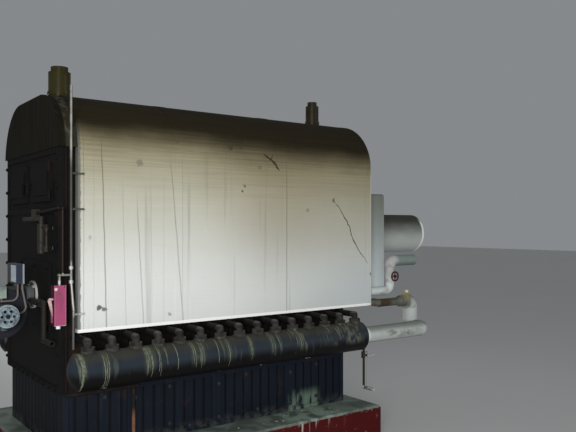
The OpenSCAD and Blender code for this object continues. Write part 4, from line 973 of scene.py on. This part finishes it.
        # Painted highlight: a pale line down the outer side; the foot and the handle are pale too.
        painted_highlight = s.fade(s.right, 0.90, 0.99)
        foot = s.fade(s.z, low.z + 0.034, low.z + 0.030) * s.patches(0.35, 0.5, 40.0, 4.0)
        handle = s.fade(s.x, high.x - 0.035, high.x - 0.030)
        body = s.mix((painted_highlight | foot | handle) * 0.8, (0.022, 0.021, 0.018), (0.40, 0.42, 0.38))
        dress(s.finish(body, 0.6, s.noise(90.0, 4.0), 0.0006), "drain_pipe")
        wheel = casting("wheel_red", (0.045, 0.009, 0.009), (0.015, 0.010, 0.010), 0.45, 0.5, 0.3)
        dress(wheel, "feed_handwheel")
        return {"FINISHED"}


class BOILER_OT_stage(bpy.types.Operator):
    """Set the floor, the light and the camera"""

    bl_idname = "boiler.stage"
    bl_label = "Stage"

    def lamp(self, name, place, target, size, power, spread):
        """Adds a square lamp that looks at a target."""
        data = bpy.data.lights.new(name, "AREA")
        data.size = size
        data.energy = power
        data.spread = spread
        made = bpy.data.objects.new(name, data)
        made.location = place
        aim = Vector(target) - Vector(place)
        made.rotation_euler = aim.to_track_quat("-Z", "Y").to_euler()
        bpy.context.scene.collection.objects.link(made)

    def execute(self, context):
        scene = bpy.context.scene
        mesh = bmesh.new()
        bmesh.ops.create_grid(mesh, x_segments=2, y_segments=2, size=40.0)
        data = bpy.data.meshes.new("floor")
        mesh.to_mesh(data)
        mesh.free()
        s = Shader("floor")
        data.materials.append(s.finish(s.shade((0.62, 0.62, 0.61), 0.97 + 0.06 * s.noise(0.8)), 0.8))
        floor = bpy.data.objects.new("floor", data)
        scene.collection.objects.link(floor)
        world = bpy.data.worlds.new("studio")
        scene.world = world
        world.use_nodes = True
        nodes, links = world.node_tree.nodes, world.node_tree.links
        nodes.clear()
        soft = nodes.new("ShaderNodeBackground")
        soft.inputs["Color"].default_value = (0.24, 0.25, 0.26, 1.0)
        output = nodes.new("ShaderNodeOutputWorld")
        links.new(soft.outputs[0], output.inputs[0])
        for row in LAMPS:
            self.lamp(*row)
        camera = bpy.data.cameras.new("camera")
        camera.lens = FOCAL_LENGTH
        camera.sensor_width = SENSOR
        camera.shift_y = HORIZON_SHIFT
        made = bpy.data.objects.new("camera", camera)
        made.location = EYE
        made.rotation_euler = (math.pi / 2, 0.0, HEADING)
        scene.collection.objects.link(made)
        scene.camera = made
        scene.view_settings.view_transform = "Standard"
        return {"FINISHED"}


OPERATORS = (
    BOILER_OT_plinth, BOILER_OT_base, BOILER_OT_sections, BOILER_OT_header, BOILER_OT_jacket,
    BOILER_OT_front, BOILER_OT_burner, BOILER_OT_controls, BOILER_OT_rear, BOILER_OT_stage,
)  # fmt: skip


class BOILER_PT_tools(bpy.types.Panel):
    """Lists the boiler's groups in the sidebar"""

    bl_idname = "BOILER_PT_tools"
    bl_label = "Boiler"
    bl_space_type = "VIEW_3D"
    bl_region_type = "UI"
    bl_category = "Boiler"

    def draw(self, context):
        for group in (context.scene.boiler_colours, context.scene.boiler_sizes):
            for name in group.bl_rna.properties.keys():
                if name not in ("name", "rna_type"):
                    self.layout.prop(group, name)
        for operator in OPERATORS:
            self.layout.operator(operator.bl_idname)


CLASSES = (BoilerColours, BoilerSizes, *OPERATORS, BOILER_PT_tools)


def register():
    for made in CLASSES:
        bpy.utils.register_class(made)
    bpy.types.Scene.boiler_colours = PointerProperty(type=BoilerColours)
    bpy.types.Scene.boiler_sizes = PointerProperty(type=BoilerSizes)


def unregister():
    del bpy.types.Scene.boiler_sizes
    del bpy.types.Scene.boiler_colours
    for made in reversed(CLASSES):
        bpy.utils.unregister_class(made)


def main():
    """Runs every operator in turn."""
    register()
    for operator in OPERATORS:
        group, name = operator.bl_idname.split(".")
        getattr(getattr(bpy.ops, group), name)()


if __name__ == "__main__":
    main()
